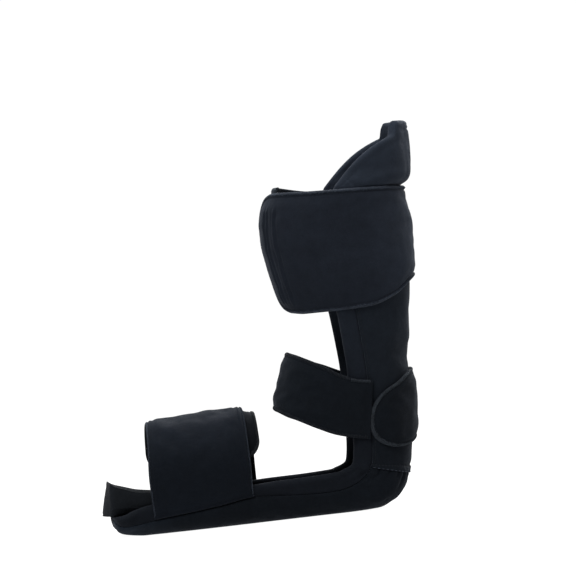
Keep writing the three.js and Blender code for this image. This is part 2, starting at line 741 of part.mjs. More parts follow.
// The toe wedge: a foam block whose top slopes down from the toe end, with a lip and a bulging front
function toeWedge() {
  const lengths = [0, 0.03, 0.09, 0.18, 0.3, 0.5, 0.75, 0.98, 1];
  const widths = [-1, -0.95, -0.84, -0.4, 0, 0.4, 0.84, 0.95, 1];
  const toe = -toeReach - wedgeOverhang;
  const grid = (face) =>
    lengths.map((along) =>
      widths.map((across) => {
        const slope = 1 - along;
        const lifted = wedgeLift * (1 - THREE.MathUtils.smoothstep(along, 0.12, 0.3));
        const bottom = bedLevel + gap + lifted;
        const thickness = mix(wedgeTail, wedgeHeight, 0.73 * (1 - along ** 2) + 0.27 * slope ** 8);
        const bulge = (1 - face) * wedgeOverhang * across ** 2 * slope ** 3;
        const lean = face * wedgeLean * slope ** 8;
        const spread = THREE.MathUtils.smoothstep(along, 0.15, 0.32);
        const narrowed = THREE.MathUtils.smoothstep(along, 0.55, 1) * wedgeTailTaper;
        const half = mix(wedgeToeWidth, wedgeWidth, spread) / 2 - narrowed;
        const x = toe + wedgeLength * along + bulge + lean;
        const raised = Math.min(liningRound + 1, thickness * 0.6) * ((Math.abs(across) - 0.84) / 0.16);
        const z = bottom + (face > 0 ? thickness : Math.max(raised, 0));
        return new THREE.Vector3(x, across * half, z);
      }),
    );
  return wallBetween(grid(1), grid(0));
}

function piece(name, geometry, material) {
  geometry.computeVertexNormals();
  const mesh = new THREE.Mesh(geometry, material);
  mesh.name = name;
  return mesh;
}

const splint = new THREE.Group();
splint.add(
  piece("padded_shell", paddedShell(), linerFabric),
  piece("sole_cover", soleCover(), coverFabric),
  piece("rear_panel", rearPanel(), brushedFabric),
  piece("calf_strap", calfStrap(), brushedFabric),
  piece("calf_strap_underlap", calfStrapUnderlap(), brushedFabric),
  piece("ankle_strap", ankleStrap(), brushedFabric),
  piece("foot_strap", footStrap(), brushedFabric),
  piece("foot_strap_tab", footStrapTab(), brushedFabric),
  piece("toe_wedge", toeWedge(), foamCloth),
);

export default splint;
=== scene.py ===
import math

import bpy
import numpy as np
from mathutils import Matrix, Vector


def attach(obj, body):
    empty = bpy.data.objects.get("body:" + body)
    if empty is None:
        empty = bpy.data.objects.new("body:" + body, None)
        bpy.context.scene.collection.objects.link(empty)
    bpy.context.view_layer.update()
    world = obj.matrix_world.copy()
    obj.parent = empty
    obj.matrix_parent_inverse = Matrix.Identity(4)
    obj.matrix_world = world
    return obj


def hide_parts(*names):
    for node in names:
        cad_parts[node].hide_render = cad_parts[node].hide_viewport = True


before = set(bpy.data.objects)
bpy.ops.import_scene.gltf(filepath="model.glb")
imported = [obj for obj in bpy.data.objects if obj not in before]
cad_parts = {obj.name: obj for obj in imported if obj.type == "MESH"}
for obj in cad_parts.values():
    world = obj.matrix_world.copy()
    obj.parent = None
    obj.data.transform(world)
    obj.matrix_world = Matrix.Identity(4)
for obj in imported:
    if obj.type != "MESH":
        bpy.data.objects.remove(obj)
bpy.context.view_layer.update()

scene = bpy.context.scene

# Camera: azimuth 0 looks along +Y, and a negative one stands nearer to the toes
AIM = Vector((-0.0353, 0.0, 0.2122))
AZIMUTH = math.radians(-4.5)
ELEVATION = math.radians(0.6)
ROLL = math.radians(-6.12)
DISTANCE = 5.0
SPAN = 0.5357


def add_camera():
    data = bpy.data.cameras.new("camera")
    data.sensor_width = 36.0
    data.lens = 36.0 * DISTANCE / SPAN
    data.clip_end = 50.0
    camera = bpy.data.objects.new("camera", data)
    scene.collection.objects.link(camera)
    back = Vector(
        (
            math.sin(AZIMUTH) * math.cos(ELEVATION),
            -math.cos(AZIMUTH) * math.cos(ELEVATION),
            math.sin(ELEVATION),
        )
    )
    right = Vector((math.cos(AZIMUTH), math.sin(AZIMUTH), 0.0))
    up = back.cross(right)
    turn = Matrix((right, up, back)).transposed().to_4x4()
    roll = Matrix.Rotation(ROLL, 4, "Z")
    camera.matrix_world = Matrix.Translation(AIM + back * DISTANCE) @ turn @ roll
    scene.camera = camera


add_camera()

# ---------------------------------------------------------------- materials


def add_node(tree, kind, inputs, operation=None):
    """A node whose inputs are numbers or the outputs of other nodes."""
    node = tree.nodes.new(kind)
    if operation:
        node.operation = operation
    for name, value in inputs.items():
        if isinstance(value, bpy.types.NodeSocket):
            tree.links.new(value, node.inputs[name])
        else:
            node.inputs[name].default_value = value
    return node


def noise(tree, place, scale, detail, roughness=0.55, distortion=0.0):
    inputs = {"Scale": scale, "Detail": detail, "Roughness": roughness, "Distortion": distortion}
    return add_node(tree, "ShaderNodeTexNoise", {"Vector": place, **inputs}).outputs["Fac"]


def ramp(tree, value, low, high, a, b):
    inputs = {"Value": value, "From Min": low, "From Max": high, "To Min": a, "To Max": b}
    return add_node(tree, "ShaderNodeMapRange", inputs).outputs["Result"]


def multiply(tree, a, b):
    return add_node(tree, "ShaderNodeMath", {0: a, 1: b}, "MULTIPLY").outputs[0]


def bump(tree, height, strength, distance, before=None):
    inputs = {"Height": height, "Strength": strength, "Distance": distance}
    if before is not None:
        inputs["Normal"] = before
    return add_node(tree, "ShaderNodeBump", inputs).outputs["Normal"]


def start_material(name):
    """A new material, its node tree, its shader and the place on the piece."""
    material = bpy.data.materials.new(name)
    material.use_nodes = True
    tree = material.node_tree
    place = tree.nodes.new("ShaderNodeTexCoord").outputs["Object"]
    return material, tree, tree.nodes["Principled BSDF"], place


def set_tone(tree, shader, color, value):
    """Makes the shader's base colour the colour times the value."""
    tone = add_node(tree, "ShaderNodeVectorMath", {0: color, "Scale": value}, "SCALE")
    tree.links.new(tone.outputs["Vector"], shader.inputs["Base Color"])


def cloth(name, color, nap=1.0, fleck=0.12, sheen=0.05, painted_light_and_shade=None):
    """Brushed loop fabric: mottled, with a short nap and a soft sheen. The last argument, if given,
    is
    painted light and shade: an axis, two places along it and how much lighter or darker the cloth
    is at each."""
    material, tree, shader, place = start_material(name)
    broad = ramp(tree, noise(tree, place, 14.0, 3.0), 0.3, 0.7, 0.86, 1.14)
    patch = ramp(tree, noise(tree, place, 120.0, 4.0, 0.6), 0.3, 0.7, 0.9, 1.1)
    fibres = noise(tree, place, 1100.0, 3.0, 0.7, 0.6)
    fibre = ramp(tree, fibres, 0.3, 0.75, 1 - fleck, 1 + fleck * 1.6)
    value = multiply(tree, multiply(tree, broad, patch), fibre)
    # Painted light and shade: the cloth is made lighter or darker along one axis, where more or
    # less light falls on the piece.
    if painted_light_and_shade:
        axis, low, high, a, b = painted_light_and_shade
        parts = add_node(tree, "ShaderNodeSeparateXYZ", {"Vector": place})
        value = multiply(tree, value, ramp(tree, parts.outputs[axis], low, high, a, b))
    set_tone(tree, shader, color, value)
    rough = ramp(tree, noise(tree, place, 300.0, 2.0), 0.3, 0.7, 0.88, 0.99)
    tree.links.new(rough, shader.inputs["Roughness"])
    shader.inputs["Specular IOR Level"].default_value = 0.06
    shader.inputs["Sheen Weight"].default_value = sheen
    shader.inputs["Sheen Roughness"].default_value = 0.45
    shader.inputs["Sheen Tint"].default_value = (0.6, 0.68, 0.85, 1.0)
    loops = bump(tree, noise(tree, place, 1500.0, 2.0, 0.6, 0.8), 0.45 * nap, 0.0003)
    tufts = bump(tree, noise(tree, place, 420.0, 3.0, 0.6, 0.3), 0.35 * nap, 0.0005, loops)
    tree.links.new(tufts, shader.inputs["Normal"])
    return material


def thread_material(name, color):
    material, tree, shader, place = start_material(name)
    worn = ramp(tree, noise(tree, place, 160.0, 4.0, 0.7), 0.3, 0.7, 0.55, 1.4)
    set_tone(tree, shader, color, worn)
    shader.inputs["Roughness"].default_value = 0.7
    shader.inputs["Specular IOR Level"].default_value = 0.2
    twist = bump(tree, noise(tree, place, 2500.0, 2.0), 0.5, 0.0002)
    tree.links.new(twist, shader.inputs["Normal"])
    return material


# Painted shade and light: these cloths are one dark navy fabric, but their base colours are set
# apart. Pieces lower down, such as the sole cover and the ankle strap, are darker, and the calf
# strap at the top is lighter. The shell is also painted lighter upwards, as if lit from above, and
# darker low on its walls.
SHELL_CLOTH = cloth("shell_cloth", (0.0046, 0.006, 0.0088), painted_light_and_shade=("Z", 0.03, 0.33, 0.7, 2.3))
# Painted light: the sole cover is made lighter at its toe end.
COVER_CLOTH = cloth("cover_cloth", (0.003, 0.0042, 0.0062), painted_light_and_shade=("X", -0.21, -0.16, 2.3, 0.85))
# Painted light: the rear panel is made lighter towards its top, as if lit from above.
PANEL_CLOTH = cloth("panel_cloth", (0.0038, 0.0051, 0.0073), painted_light_and_shade=("Z", 0.05, 0.22, 0.88, 1.75))
# Painted light and shade along X: the calf strap is made lighter towards the back, as if lit from
# behind, and the ankle strap darker towards its back and its tab.
CALF_PAINTED_LIGHT, ANKLE_PAINTED_SHADE = ("X", 0.03, 0.085, 1.03, 1.7), ("X", -0.04, 0.07, 1.12, 0.82)
CALF_CLOTH = cloth("calf_strap_cloth", (0.0062, 0.008, 0.0119), painted_light_and_shade=CALF_PAINTED_LIGHT)
ANKLE_CLOTH = cloth("ankle_strap_cloth", (0.0028, 0.0039, 0.0057), painted_light_and_shade=ANKLE_PAINTED_SHADE)
# Painted light: the foot strap is made lighter on its top, as if lit from above, and the wedge
# lighter on its front face.
FOOT_PAINTED_LIGHT, WEDGE_PAINTED_LIGHT = ("Z", 0.07, 0.103, 0.97, 1.25), ("X", -0.2235, -0.216, 1.45, 1.0)
FOOT_CLOTH = cloth("foot_strap_cloth", (0.0029, 0.0041, 0.0064), painted_light_and_shade=FOOT_PAINTED_LIGHT)
TAB_CLOTH = cloth("foot_tab_cloth", (0.0008, 0.0013, 0.0022))
WEDGE_CLOTH = cloth("wedge_cloth", (0.0056, 0.0066, 0.0083), 0.8, 0.15, 0.0, WEDGE_PAINTED_LIGHT)
GREY_THREAD = thread_material("grey_thread", (0.021, 0.026, 0.033))
DARK_THREAD = thread_material("dark_thread", (0.006, 0.0075, 0.0105))
SEAM_THREAD = thread_material("seam_thread", (0.0024, 0.0032, 0.0046))
RIM_THREAD = thread_material("rim_thread", (0.025, 0.032, 0.045))

# ------------------------------------------------------------------ numbers


def smooth(x, low, high):
    t = np.clip((np.asarray(x, float) - low) / (high - low), 0.0, 1.0)
    return t * t * (3.0 - 2.0 * t)


def mix(a, b, t):
    return a + (b - a) * t


def hump(x, centre, width):
    """A smooth rise to 1 at the centre."""
    return np.exp(-(((x - centre) / width) ** 2))


def between(x, low, full, fade, high):
    """0 up to low and from high on, and 1 from full to fade."""
    return smooth(x, low, full) * (1 - smooth(x, fade, high))


def unit(vectors):
    return vectors / np.maximum(np.linalg.norm(vectors, axis=-1, keepdims=True), 1e-9)


def cubic(t, y, at):
    """The shape-keeping cubic through the rows y at t, read at the places at."""
    t, y, at = np.asarray(t, float), np.asarray(y, float), np.asarray(at, float)
    step = np.diff(t)[:, None]
    slope = np.diff(y, axis=0) / step
    tangent = np.zeros_like(y)
    same = slope[:-1] * slope[1:] > 0
    a, b = 2 * step[1:] + step[:-1], step[1:] + 2 * step[:-1]
    safe = np.where(same, slope[:-1], 1.0), np.where(same, slope[1:], 1.0)
    tangent[1:-1] = np.where(same, (a + b) / (a / safe[0] + b / safe[1]), 0.0)
    tangent[0], tangent[-1] = slope[0], slope[-1]
    k = np.clip(np.searchsorted(t, at, "right") - 1, 0, len(t) - 2)
    u = ((at - t[k]) / step[k, 0])[:, None]
    return (
        (2 * u**3 - 3 * u**2 + 1) * y[k]
        + (u**3 - 2 * u**2 + u) * tangent[k] * step[k]
        + (3 * u**2 - 2 * u**3) * y[k + 1]
        + (u**3 - u**2) * tangent[k + 1] * step[k]
    )


RIPPLE_WAVES = 9


def ripple(a, b, length, seed):
    """Soft waves of about that length over the plane (a, b), between about -1 and 1."""
    random = np.random.default_rng(seed)
    total = np.zeros(np.broadcast(a, b).shape)
    for _ in range(RIPPLE_WAVES):
        turn = random.uniform(0, math.pi)
        size = length * random.uniform(0.65, 1.5)
        phase = random.uniform(0, 2 * math.pi)
        along = a * math.cos(turn) + b * math.sin(turn)
        total = total + np.sin(2 * math.pi * along / size + phase)
    return total / math.sqrt(RIPPLE_WAVES)


def to_line(a, b, line):
    """Distance of the points (a, b) from a line of points, and how far along it they are."""
    steps = np.diff(line, axis=0)
    squares = np.maximum((steps**2).sum(1), 1e-12)
    best = np.full(np.shape(a), 1e9)
    along = np.zeros(np.shape(a))
    run = 0.0
    for start, step, square in zip(line, steps, squares):
        t = np.clip(((a - start[0]) * step[0] + (b - start[1]) * step[1]) / square, 0, 1)
        gap = np.hypot(a - start[0] - t * step[0], b - start[1] - t * step[1])
        near = gap < best
        best[near] = gap[near]
        along[near] = run + t[near] * math.sqrt(square)
        run += math.sqrt(square)
    return best, along / run


def crease(a, b, line, width, depth):
    """A soft fold along a line of points in the plane (a, b), fading out at its ends."""
    gap, share = to_line(a, b, np.asarray(line, float))
    fade = np.sin(np.pi * np.clip(share, 0, 1)) ** 0.6
    return depth * fade * hump(gap, 0, width)


def rounding(edge, radius):
    """How full a padded edge is at a distance in from it."""
    t = 1.0 - np.clip(edge / radius, 0.0, 1.0)
    return np.sqrt(np.clip(1.0 - t * t, 0.0, 1.0))


# ------------------------------------------------------------------- meshes


def add_mesh(name, points, faces, material, scale=0.001):
    """A smooth mesh of points in millimetres, unless another scale is given."""
    mesh = bpy.data.meshes.new(name)
    mesh.from_pydata((np.asarray(points, float) * scale).tolist(), [], faces)
    mesh.validate()
    mesh.polygons.foreach_set("use_smooth", [True] * len(mesh.polygons))
    mesh.materials.append(material)
    piece = bpy.data.objects.new(name, mesh)
    scene.collection.objects.link(piece)
    return piece


def finish_pad(piece, node):
    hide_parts(node)
    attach(piece, "root")


def finish_trim(piece):
    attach(piece, "root")


def quads(rows, columns, first=0):
    i = np.arange(rows - 1)[:, None]
    j = np.arange(columns - 1)[None, :]
    a = first + i * columns + j
    return np.stack([a, a + columns, a + columns + 1, a + 1], -1).reshape(-1, 4)


def pad(name, node, outer, inner, material):
    """A closed pad: an outer and an inner face with the same edge points."""
    rows, columns = outer.shape[:2]
    count = rows * columns
    index = np.arange(count).reshape(rows, columns)
    inside = np.zeros((rows, columns), bool)
    inside[1:-1, 1:-1] = True
    under = index.copy()
    under[inside] = count + np.arange(inside.sum())
    points = np.vstack([outer.reshape(-1, 3), inner[inside]])
    back = under.reshape(-1)[quads(rows, columns)][:, (0, 3, 2, 1)]
    faces = np.vstack([quads(rows, columns), back])
    p = points[faces] - points.mean(0)
    volume = sum(
        np.einsum("ij,ij->", p[:, 0], np.cross(p[:, k], p[:, k + 1])) for k in (1, 2)
    )
    if volume < 0:
        faces = faces[:, ::-1]
    finish_pad(add_mesh(name, points, faces.tolist(), material), node)


def normals_of(grid):
    return unit(np.cross(np.gradient(grid, axis=0), np.gradient(grid, axis=1)))


def sample(grid, row, column):
    """A grid of points read at fractional rows and columns."""
    row = np.clip(np.asarray(row, float), 0, grid.shape[0] - 1.001)
    column = np.clip(np.asarray(column, float), 0, grid.shape[1] - 1.001)
    i, j = row.astype(int), column.astype(int)
    u, v = (row - i)[..., None], (column - j)[..., None]
    low = grid[i, j] * (1 - v) + grid[i, j + 1] * v
    high = grid[i + 1, j] * (1 - v) + grid[i + 1, j + 1] * v
    return low * (1 - u) + high * u


def threads(name, paths, normals, radius, material, sides=5):
    """Short threads as one mesh: each path is a row of points with the cloth's normal there."""
    count, steps = paths.shape[:2]
    tangent = np.gradient(paths, axis=1)
    side = unit(np.cross(tangent, normals))
    thick = radius * (np.sin(np.pi * (np.arange(steps) + 0.5) / steps) ** 0.35)[None, :, None]
    rings = []
    for k in range(sides):
        angle = 2 * math.pi * k / sides
        rings.append(paths + thick * (math.cos(angle) * side + math.sin(angle) * normals))
    body = np.stack(rings, 2).reshape(count, steps * sides, 3)
    tips = unit(tangent[:, (0, -1)]) * radius * 0.5 * np.array([-1.0, 1.0])[None, :, None]
    points = np.concatenate([body, paths[:, (0, -1)] + tips], 1)
    last, start, end = (steps - 1) * sides, steps * sides, steps * sides + 1
    faces = []
    for k in range(sides):
        after = (k + 1) % sides
        for i in range(0, last, sides):
            faces.append((i + k, i + after, i + sides + after, i + sides + k))
        faces += [(k, start, after), (last + k, last + after, end)]
    every = [
        tuple(corner + first for corner in face)
        for first in range(0, count * points.shape[1], points.shape[1])
        for face in faces
    ]
    finish_trim(add_mesh(name, points.reshape(-1, 3), every, material))


def run_length(points):
    steps = np.linalg.norm(np.diff(points, axis=0), axis=1)
    return np.concatenate([[0.0], np.cumsum(steps)])


def dashes(points, normals, pitch, length, lift):
    """Stitches along a line of points: short arched runs of thread, lifted off the cloth."""
    run = run_length(points)
    starts = np.arange(pitch * 0.3, run[-1] - length, pitch)
    paths, ups = [], []
    for start in starts:
        at = start + np.linspace(0, length, 5)
        place = np.stack([np.interp(at, run, points[:, k]) for k in range(3)], -1)
        up = np.stack([np.interp(at, run, normals[:, k]) for k in range(3)], -1)
        up /= np.linalg.norm(up, axis=-1, keepdims=True)
        arch = lift * np.array([-0.8, 0.7, 1.0, 0.7, -0.8])
        paths.append(place + up * arch[:, None])
        ups.append(up)
    return np.array(paths), np.array(ups)


def stitches(name, lines, pitch, length, radius, material):
    """Runs of stitches along lines of points with their normals."""
    runs = [dashes(points, normals, pitch, length, radius * 0.9) for points, normals in lines]
    paths, ups = (np.concatenate(parts) for parts in zip(*runs))
    threads(name, paths, ups, radius, material)


def blurred(grid, size):
    """A grid of numbers, smoothed over about that many rows and columns."""
    reach = int(3 * size)
    weights = np.exp(-0.5 * (np.arange(-reach, reach + 1) / size) ** 2)
    weights /= weights.sum()
    for axis in (0, 1):
        pads = [(reach, reach) if k == axis else (0, 0) for k in (0, 1)]
        wide = np.pad(grid, pads, mode="edge")
        count = grid.shape[axis]
        grid = sum(w * np.take(wide, range(k, k + count), axis) for k, w in enumerate(weights))
    return grid


SETTLE_FRAMES = 16
SETTLE_SCALE = 0.01


def settle(grid, pinned, slack, limit, seed):
    """How far each point of a face of cloth moves outwards when it is sewn down where pinned is 1,
    cut a little too large between its seams and pushed out by its padding. Only folds are kept."""
    rows, columns = grid.shape[:2]
    normal = normals_of(grid)
    if np.einsum("ijk,ijk->", normal, grid - grid.reshape(-1, 3).mean(0)) < 0:
        normal = -normal
    random = np.random.default_rng(seed)
    rough = blurred(random.standard_normal((rows, columns)), 1.2) * (1 - pinned)
    start = (grid + normal * (0.5 * rough[..., None])) * SETTLE_SCALE
    faces = quads(rows, columns)
    down, across = grid[1:, :-1] - grid[:-1, :-1], grid[:-1, 1:] - grid[:-1, :-1]
    if np.einsum("ijk,ijk->", np.cross(down, across), normal[:-1, :-1]) < 0:
        faces = faces[:, ::-1]
    mesh = bpy.data.meshes.new("settling")
    mesh.from_pydata(start.reshape(-1, 3).tolist(), [], faces.tolist())
    piece = bpy.data.objects.new("settling", mesh)
    scene.collection.objects.link(piece)
    group = piece.vertex_groups.new(name="sewn")
    for weight in np.unique(pinned.round(2)):
        if weight > 0:
            chosen = np.flatnonzero(pinned.round(2).ravel() == weight)
            group.add(chosen.tolist(), float(weight), "REPLACE")
    modifier = piece.modifiers.new("cloth", "CLOTH")
    settings = modifier.settings
    settings.quality = 5
    settings.mass = 0.25
    settings.tension_stiffness = 12
    settings.compression_stiffness = 12
    settings.shear_stiffness = 4
    settings.bending_stiffness = 0.8
    settings.shrink_min = -slack
    settings.use_pressure = True
    settings.uniform_pressure_force = 0.3
    settings.vertex_group_mass = "sewn"
    settings.effector_weights.gravity = 0.0
    modifier.point_cache.frame_start = 1
    modifier.point_cache.frame_end = SETTLE_FRAMES
    for step in range(1, SETTLE_FRAMES + 1):
        scene.frame_set(step)
    done = piece.evaluated_get(bpy.context.evaluated_depsgraph_get())
    moved = np.empty(rows * columns * 3)
    done.data.vertices.foreach_get("co", moved)
    scene.frame_set(1)
    bpy.data.objects.remove(piece)
    bpy.data.meshes.remove(mesh)
    moved = moved.reshape(rows, columns, 3) / SETTLE_SCALE - grid
    out = np.nan_to_num(np.einsum("ijk,ijk->ij", moved, normal))
    out = (blurred(out, 0.8) - blurred(out, 7.0)) * (1 - pinned)
    return limit * np.tanh(out / limit)


# ---------------------------------------------------------------- the shell
# Millimetres, as in the solids. The tables' rows are what the section functions below take: along
# the sole from the toes, round the heel, up the calf and over the flap.

TOE, HEEL_REACH, HEIGHT, LEAN = 221.0, 63.0, 356.0, 27.0
BALL, ANKLE, CALF_WIDTH = 108.0, 80.0, 124.0
SOLE_ROUND, TOE_LIFT, BED, WALL_TOP, WALL, BORDER = 15.0, 14.0, 18.0, 37.0, 9.0, 17.5
HEEL_FLAT, HEEL_RISE, HEEL_BOWL, CALF_BOWL = 10.0, 80.0, 30.0, 54.0
ANKLE_EDGE, WING, LINING_ROUND, GAP, SKIN = 7.5, 14.0, 6.0, 0.3, 2.8

FOOT = [
    (1.0, 0.97, 0.53, 0.58, 0.45),
    (0.994, 0.6, 0.53, 0.68, 0.38),
    (0.98, 0.36, 0.54, 0.79, 0.3),
    (0.955, 0.18, 0.566, 0.87, 0.31),
    (0.92, 0.07, 0.65, 0.92, 0.365),
    (0.87, 0, 0.73, 0.95, 0.405),
    (0.79, 0, 0.8, 0.98, 0.444),
    (0.68, 0, 0.87, 1.0, 0.483),
    (0.56, 0, 0.93, 0.98, 0.544),
    (0.42, 0, 0.97, 0.92, 0.655),
    (0.3, 0, 1.0, 0.85, 0.6),
    (0.19, 0, 1.01, 0.8, 0.545),
    (0.1, 0, 1.03, 0.77, 0.52),
]
HEEL = [
    (0.0, 0.0, 0.0, 0.0, 0.0),
    (0.22, 0.0, 0.21, 0.03, 0.06),
    (0.45, 0.006, 0.37, 0.052, 0.16),
    (0.65, 0.065, 0.52, 0.075, 0.3),
    (0.79, 0.175, 0.63, 0.097, 0.46),
    (0.885, 0.35, 0.72, 0.122, 0.62),
    (0.922, 0.46, 0.8, 0.16, 0.78),
    (0.955, 0.6, 0.91, 0.39, 0.9),
    (0.985, 0.79, 0.97, 0.706, 0.97),
]
CALF = [
    (0.227, 0.13, 0.0, 0.0, 0.0),
    (0.283, 0.17, 0.0, 0.1, -0.02),
    (0.363, 0.19, 0.06, 0.25, -0.03),
    (0.44, 0.33, 0.18, 0.42, 0.09),
    (0.525, 0.48, 0.38, 0.62, 0.3),
    (0.595, 0.58, 0.62, 0.8, 0.6),
    (0.665, 0.64, 0.84, 0.95, 0.9),
    (0.735, 0.63, 0.95, 1.0, 0.85),
    (0.795, 0.55, 0.98, 1.0, 0.45),
    (0.828, 0.57, 1.0, 1.0, 0.04),
]
FLAP = [
    (0.1, 0.85, -0.02, 0.0, 0.1),
    (0.33, 1.1, -0.1, 0.02, 0.35),
    (0.62, 1.16, -0.21, 0.05, 0.65),
    (0.9, 1.15, -0.34, 0.1, 0.92),
    (1.0, 1.13, -0.4, 0.13, 1.0),
]
FLAP_BOW, FLAP_STEP = 8.0, 7.0


# Each section has the point in the middle of its outside, the rim, half width, round, depth of the
# round, padding, border, bow, step and level. These are the places of three of them.
HALF_WIDTH, BOWL, EDGE = 4, 6, 8


# Where the heel starts: its rim and border as shares of WALL_TOP, and its width as one of BALL
HEEL_START = (1.05, 0.765, 0.46)


def foot_section(along, lift, rim, width, seam):
    low, top = SKIN + TOE_LIFT * lift, WALL_TOP * rim
    corner = min(SOLE_ROUND, top - low)
    x = -TOE * along
    half = BALL / 2 * width
    return [x, low, x, top, half, corner, corner, BED - low, (top - low) * (1 - seam), 0, 0, 0]


def calf_section(height, lean, width, bowl, wing):
    z = HEIGHT * height
    half = ANKLE / 2 + (CALF_WIDTH - ANKLE) / 2 * width
    back = HEEL_REACH - SKIN + LEAN * lean
    rim = ANKLE_EDGE - WING * wing
    return [back, z, rim, z, half, half, mix(HEEL_BOWL, CALF_BOWL, bowl), WALL, BORDER, 0, 0, 0]


def heel_section(back, up, rim_back, rim_up, turn):
    rim, half, seam = HEEL_START
    sole = [-HEEL_FLAT, SKIN, -HEEL_FLAT, WALL_TOP * rim, BALL / 2 * half]
    sole += [SOLE_ROUND, SOLE_ROUND, BED - SKIN, WALL_TOP * seam]
    calf = [calf_section(*CALF[0])[0], HEEL_RISE, ANKLE_EDGE, HEEL_RISE, ANKLE / 2]
    calf += [ANKLE / 2, HEEL_BOWL, WALL, BORDER]
    turns = [back, up, rim_back, rim_up] + [turn] * 5
    return [mix(a, b, t) for a, b, t in zip(sole, calf, turns)] + [0, 0, 0]


def flap_section(back, lean, wing, rise, bow):
    section = calf_section(*CALF[-1])
    whole = HEIGHT - FLAP_STEP - section[1]
    section[0] = HEEL_REACH - SKIN + LEAN * lean
    section[1] += whole * back
    section[2] = ANKLE_EDGE - WING * wing
    section[3] += whole * rise
    section[9:] = [FLAP_BOW * bow, FLAP_STEP * bow, bow]
    return section


TABLES = ((foot_section, FOOT), (heel_section, HEEL), (calf_section, CALF), (flap_section, FLAP))
SECTIONS = np.array([section(*row) for section, rows in TABLES for row in rows])
OUTSIDE_STEPS = np.hypot(*np.diff(SECTIONS[:, 0:2], axis=0).T)
RIM_STEPS = np.hypot(*np.diff(SECTIONS[:, 2:4], axis=0).T)
PLACES = np.concatenate([[0.0], np.cumsum(np.maximum(OUTSIDE_STEPS, 0.8 * RIM_STEPS))])
HEM_PLACE = PLACES[len(FOOT) + 5]
SOLE_SEAM_END = PLACES[len(FOOT) - 2]
PANEL_END = PLACES[len(FOOT) + len(HEEL) + 7]


def sections_at(places):
    return cubic(PLACES, SECTIONS, places)


def outline(section, lining=False):
    """Half of a section, from its middle to its rim, as points across and inwards."""
    ox, oz, rx, rz, half, corner, bowl, bed = section[:8]
    height = math.hypot(rx - ox, rz - oz)
    a = np.linspace(0, math.pi / 2, 41)
    if lining:
        half = half - WALL
        bed = min(bed, height - 0.6)
        bowl = min(max(bowl, bed + LINING_ROUND), height)
        corner = max(corner - WALL, LINING_ROUND)
    else:
        bed = 0.0
    flat = max(half - corner, 0.0)
    across = flat + (half - flat) * np.sin(a)
    inwards = np.minimum(bowl - (bowl - bed) * np.cos(a), height)
    points = np.column_stack([across, inwards])
    return np.vstack([[0.0, bed], points, [half, max(height, inwards[-1] + 1e-6)]])


def placed(section, across, inwards, side, under):
    ox, oz, rx, rz = section[:4]
    bow, step, level = section[9:12]
    height = math.hypot(rx - ox, rz - oz)
    ux, uz = (rx - ox) / height, (rz - oz) / height
    bowed = bow * np.sin(np.pi * np.clip(inwards / height, 0, 1))
    x = ox + ux * inwards + uz * bowed
    slanting = oz + uz * inwards - ux * bowed
    levelled = 1.0 - smooth(under, 12.5, 17.0)
    z = mix(slanting, oz + step, levelled * level)
    return np.stack([x, side * across, z], -1)


def shell_rows(places, lengths, out, lining=False):
    """Rows of points across the boot. lengths are distances from the middle, negative on the near
    side, as shares of the outside's half length; out moves them along the section's normal."""
    out = -out if lining else out
    rows = []
    for section, share, move in zip(sections_at(places), lengths, out):
        face, outside = outline(section, lining), outline(section)
        run, outside_run = run_length(face), run_length(outside)
        under = np.interp(np.abs(share) * outside_run[-1], outside_run, outside[:, 1])
        at = np.abs(share) * run[-1]
        (across, inwards), (a1, i1), (a0, i0) = (
            [np.interp(at + step, run, face[:, k]) for k in (0, 1)] for step in (0.0, 0.9, -0.9)
        )
        size = np.maximum(np.hypot(a1 - a0, i1 - i0), 1e-9)
        across = across + move * (i1 - i0) / size
        inwards = inwards - move * (a1 - a0) / size
        rows.append(placed(section, across, inwards, np.sign(share) + (share == 0), under))
    return np.array(rows)


def half_length(places):
    return np.array([run_length(outline(section))[-1] for section in sections_at(places)])


def spaced(start, end, step, ends):
    """Even places from start to end, with extra ones at given distances from both ends."""
    count = max(2, int(round((end - start) / step)) + 1)
    body = np.linspace(start, end, count)
    extra = np.array(ends)
    body = body[(body > start + extra.max()) & (body < end - extra.max())]
    return np.unique(np.concatenate([[start, end], start + extra, end - extra, body]))


SEAM_STEPS = np.array([0.0, 0.35, 0.8, 1.4, 2.1, 3.0, 4.1, 5.5, 7.2])
RIM_RADIUS = 4.4


def border_columns(half, border):
    """Distances from the middle for one side: to the seam, over the border and round the rim."""
    edge = half - border
    fine = SEAM_STEPS * min(1.0, edge / 20.0)
    inner = np.linspace(0.0, edge - fine[-1], 38)
    to_seam = np.concatenate([inner, (edge - fine[:-1])[::-1]])
    radius = min(RIM_RADIUS, border * 0.45)
    rim = half - radius * (1 - np.cos(np.linspace(math.pi / 2, 0, 8)))
    strip = min(1.0, (border - radius) / 12.0)
    start = edge + SEAM_STEPS[1:7] * strip
    middle = np.linspace(start[-1], rim[0], 6)[1:-1]
    return to_seam, np.concatenate([to_seam, start, middle, rim])


def both_sides(half_row):
    return np.concatenate([-half_row[::-1], half_row[1:]])


# Tucks beneath the hem: distance from the middle, depth and length
TUCKS = (
    (7.0, 1.2, 9.0),
    (15.5, 1.6, 12.0),
    (24.0, 1.6, 10.0),
    (33.0, 2.3, 15.0),
    (40.0, 1.4, 9.0),
    (47.0, 2.0, 12.0),
    (58.0, 2.4, 22.0),
)


def pucker(place, run, seam, pitch, length, seed):
    """Short waves along a seam, fading out beside it."""
    waves = np.sin(2 * math.pi * place / pitch + 1.5 * ripple(place, run, length, seed))
    return waves * np.exp(-np.abs(seam) / 5.0)


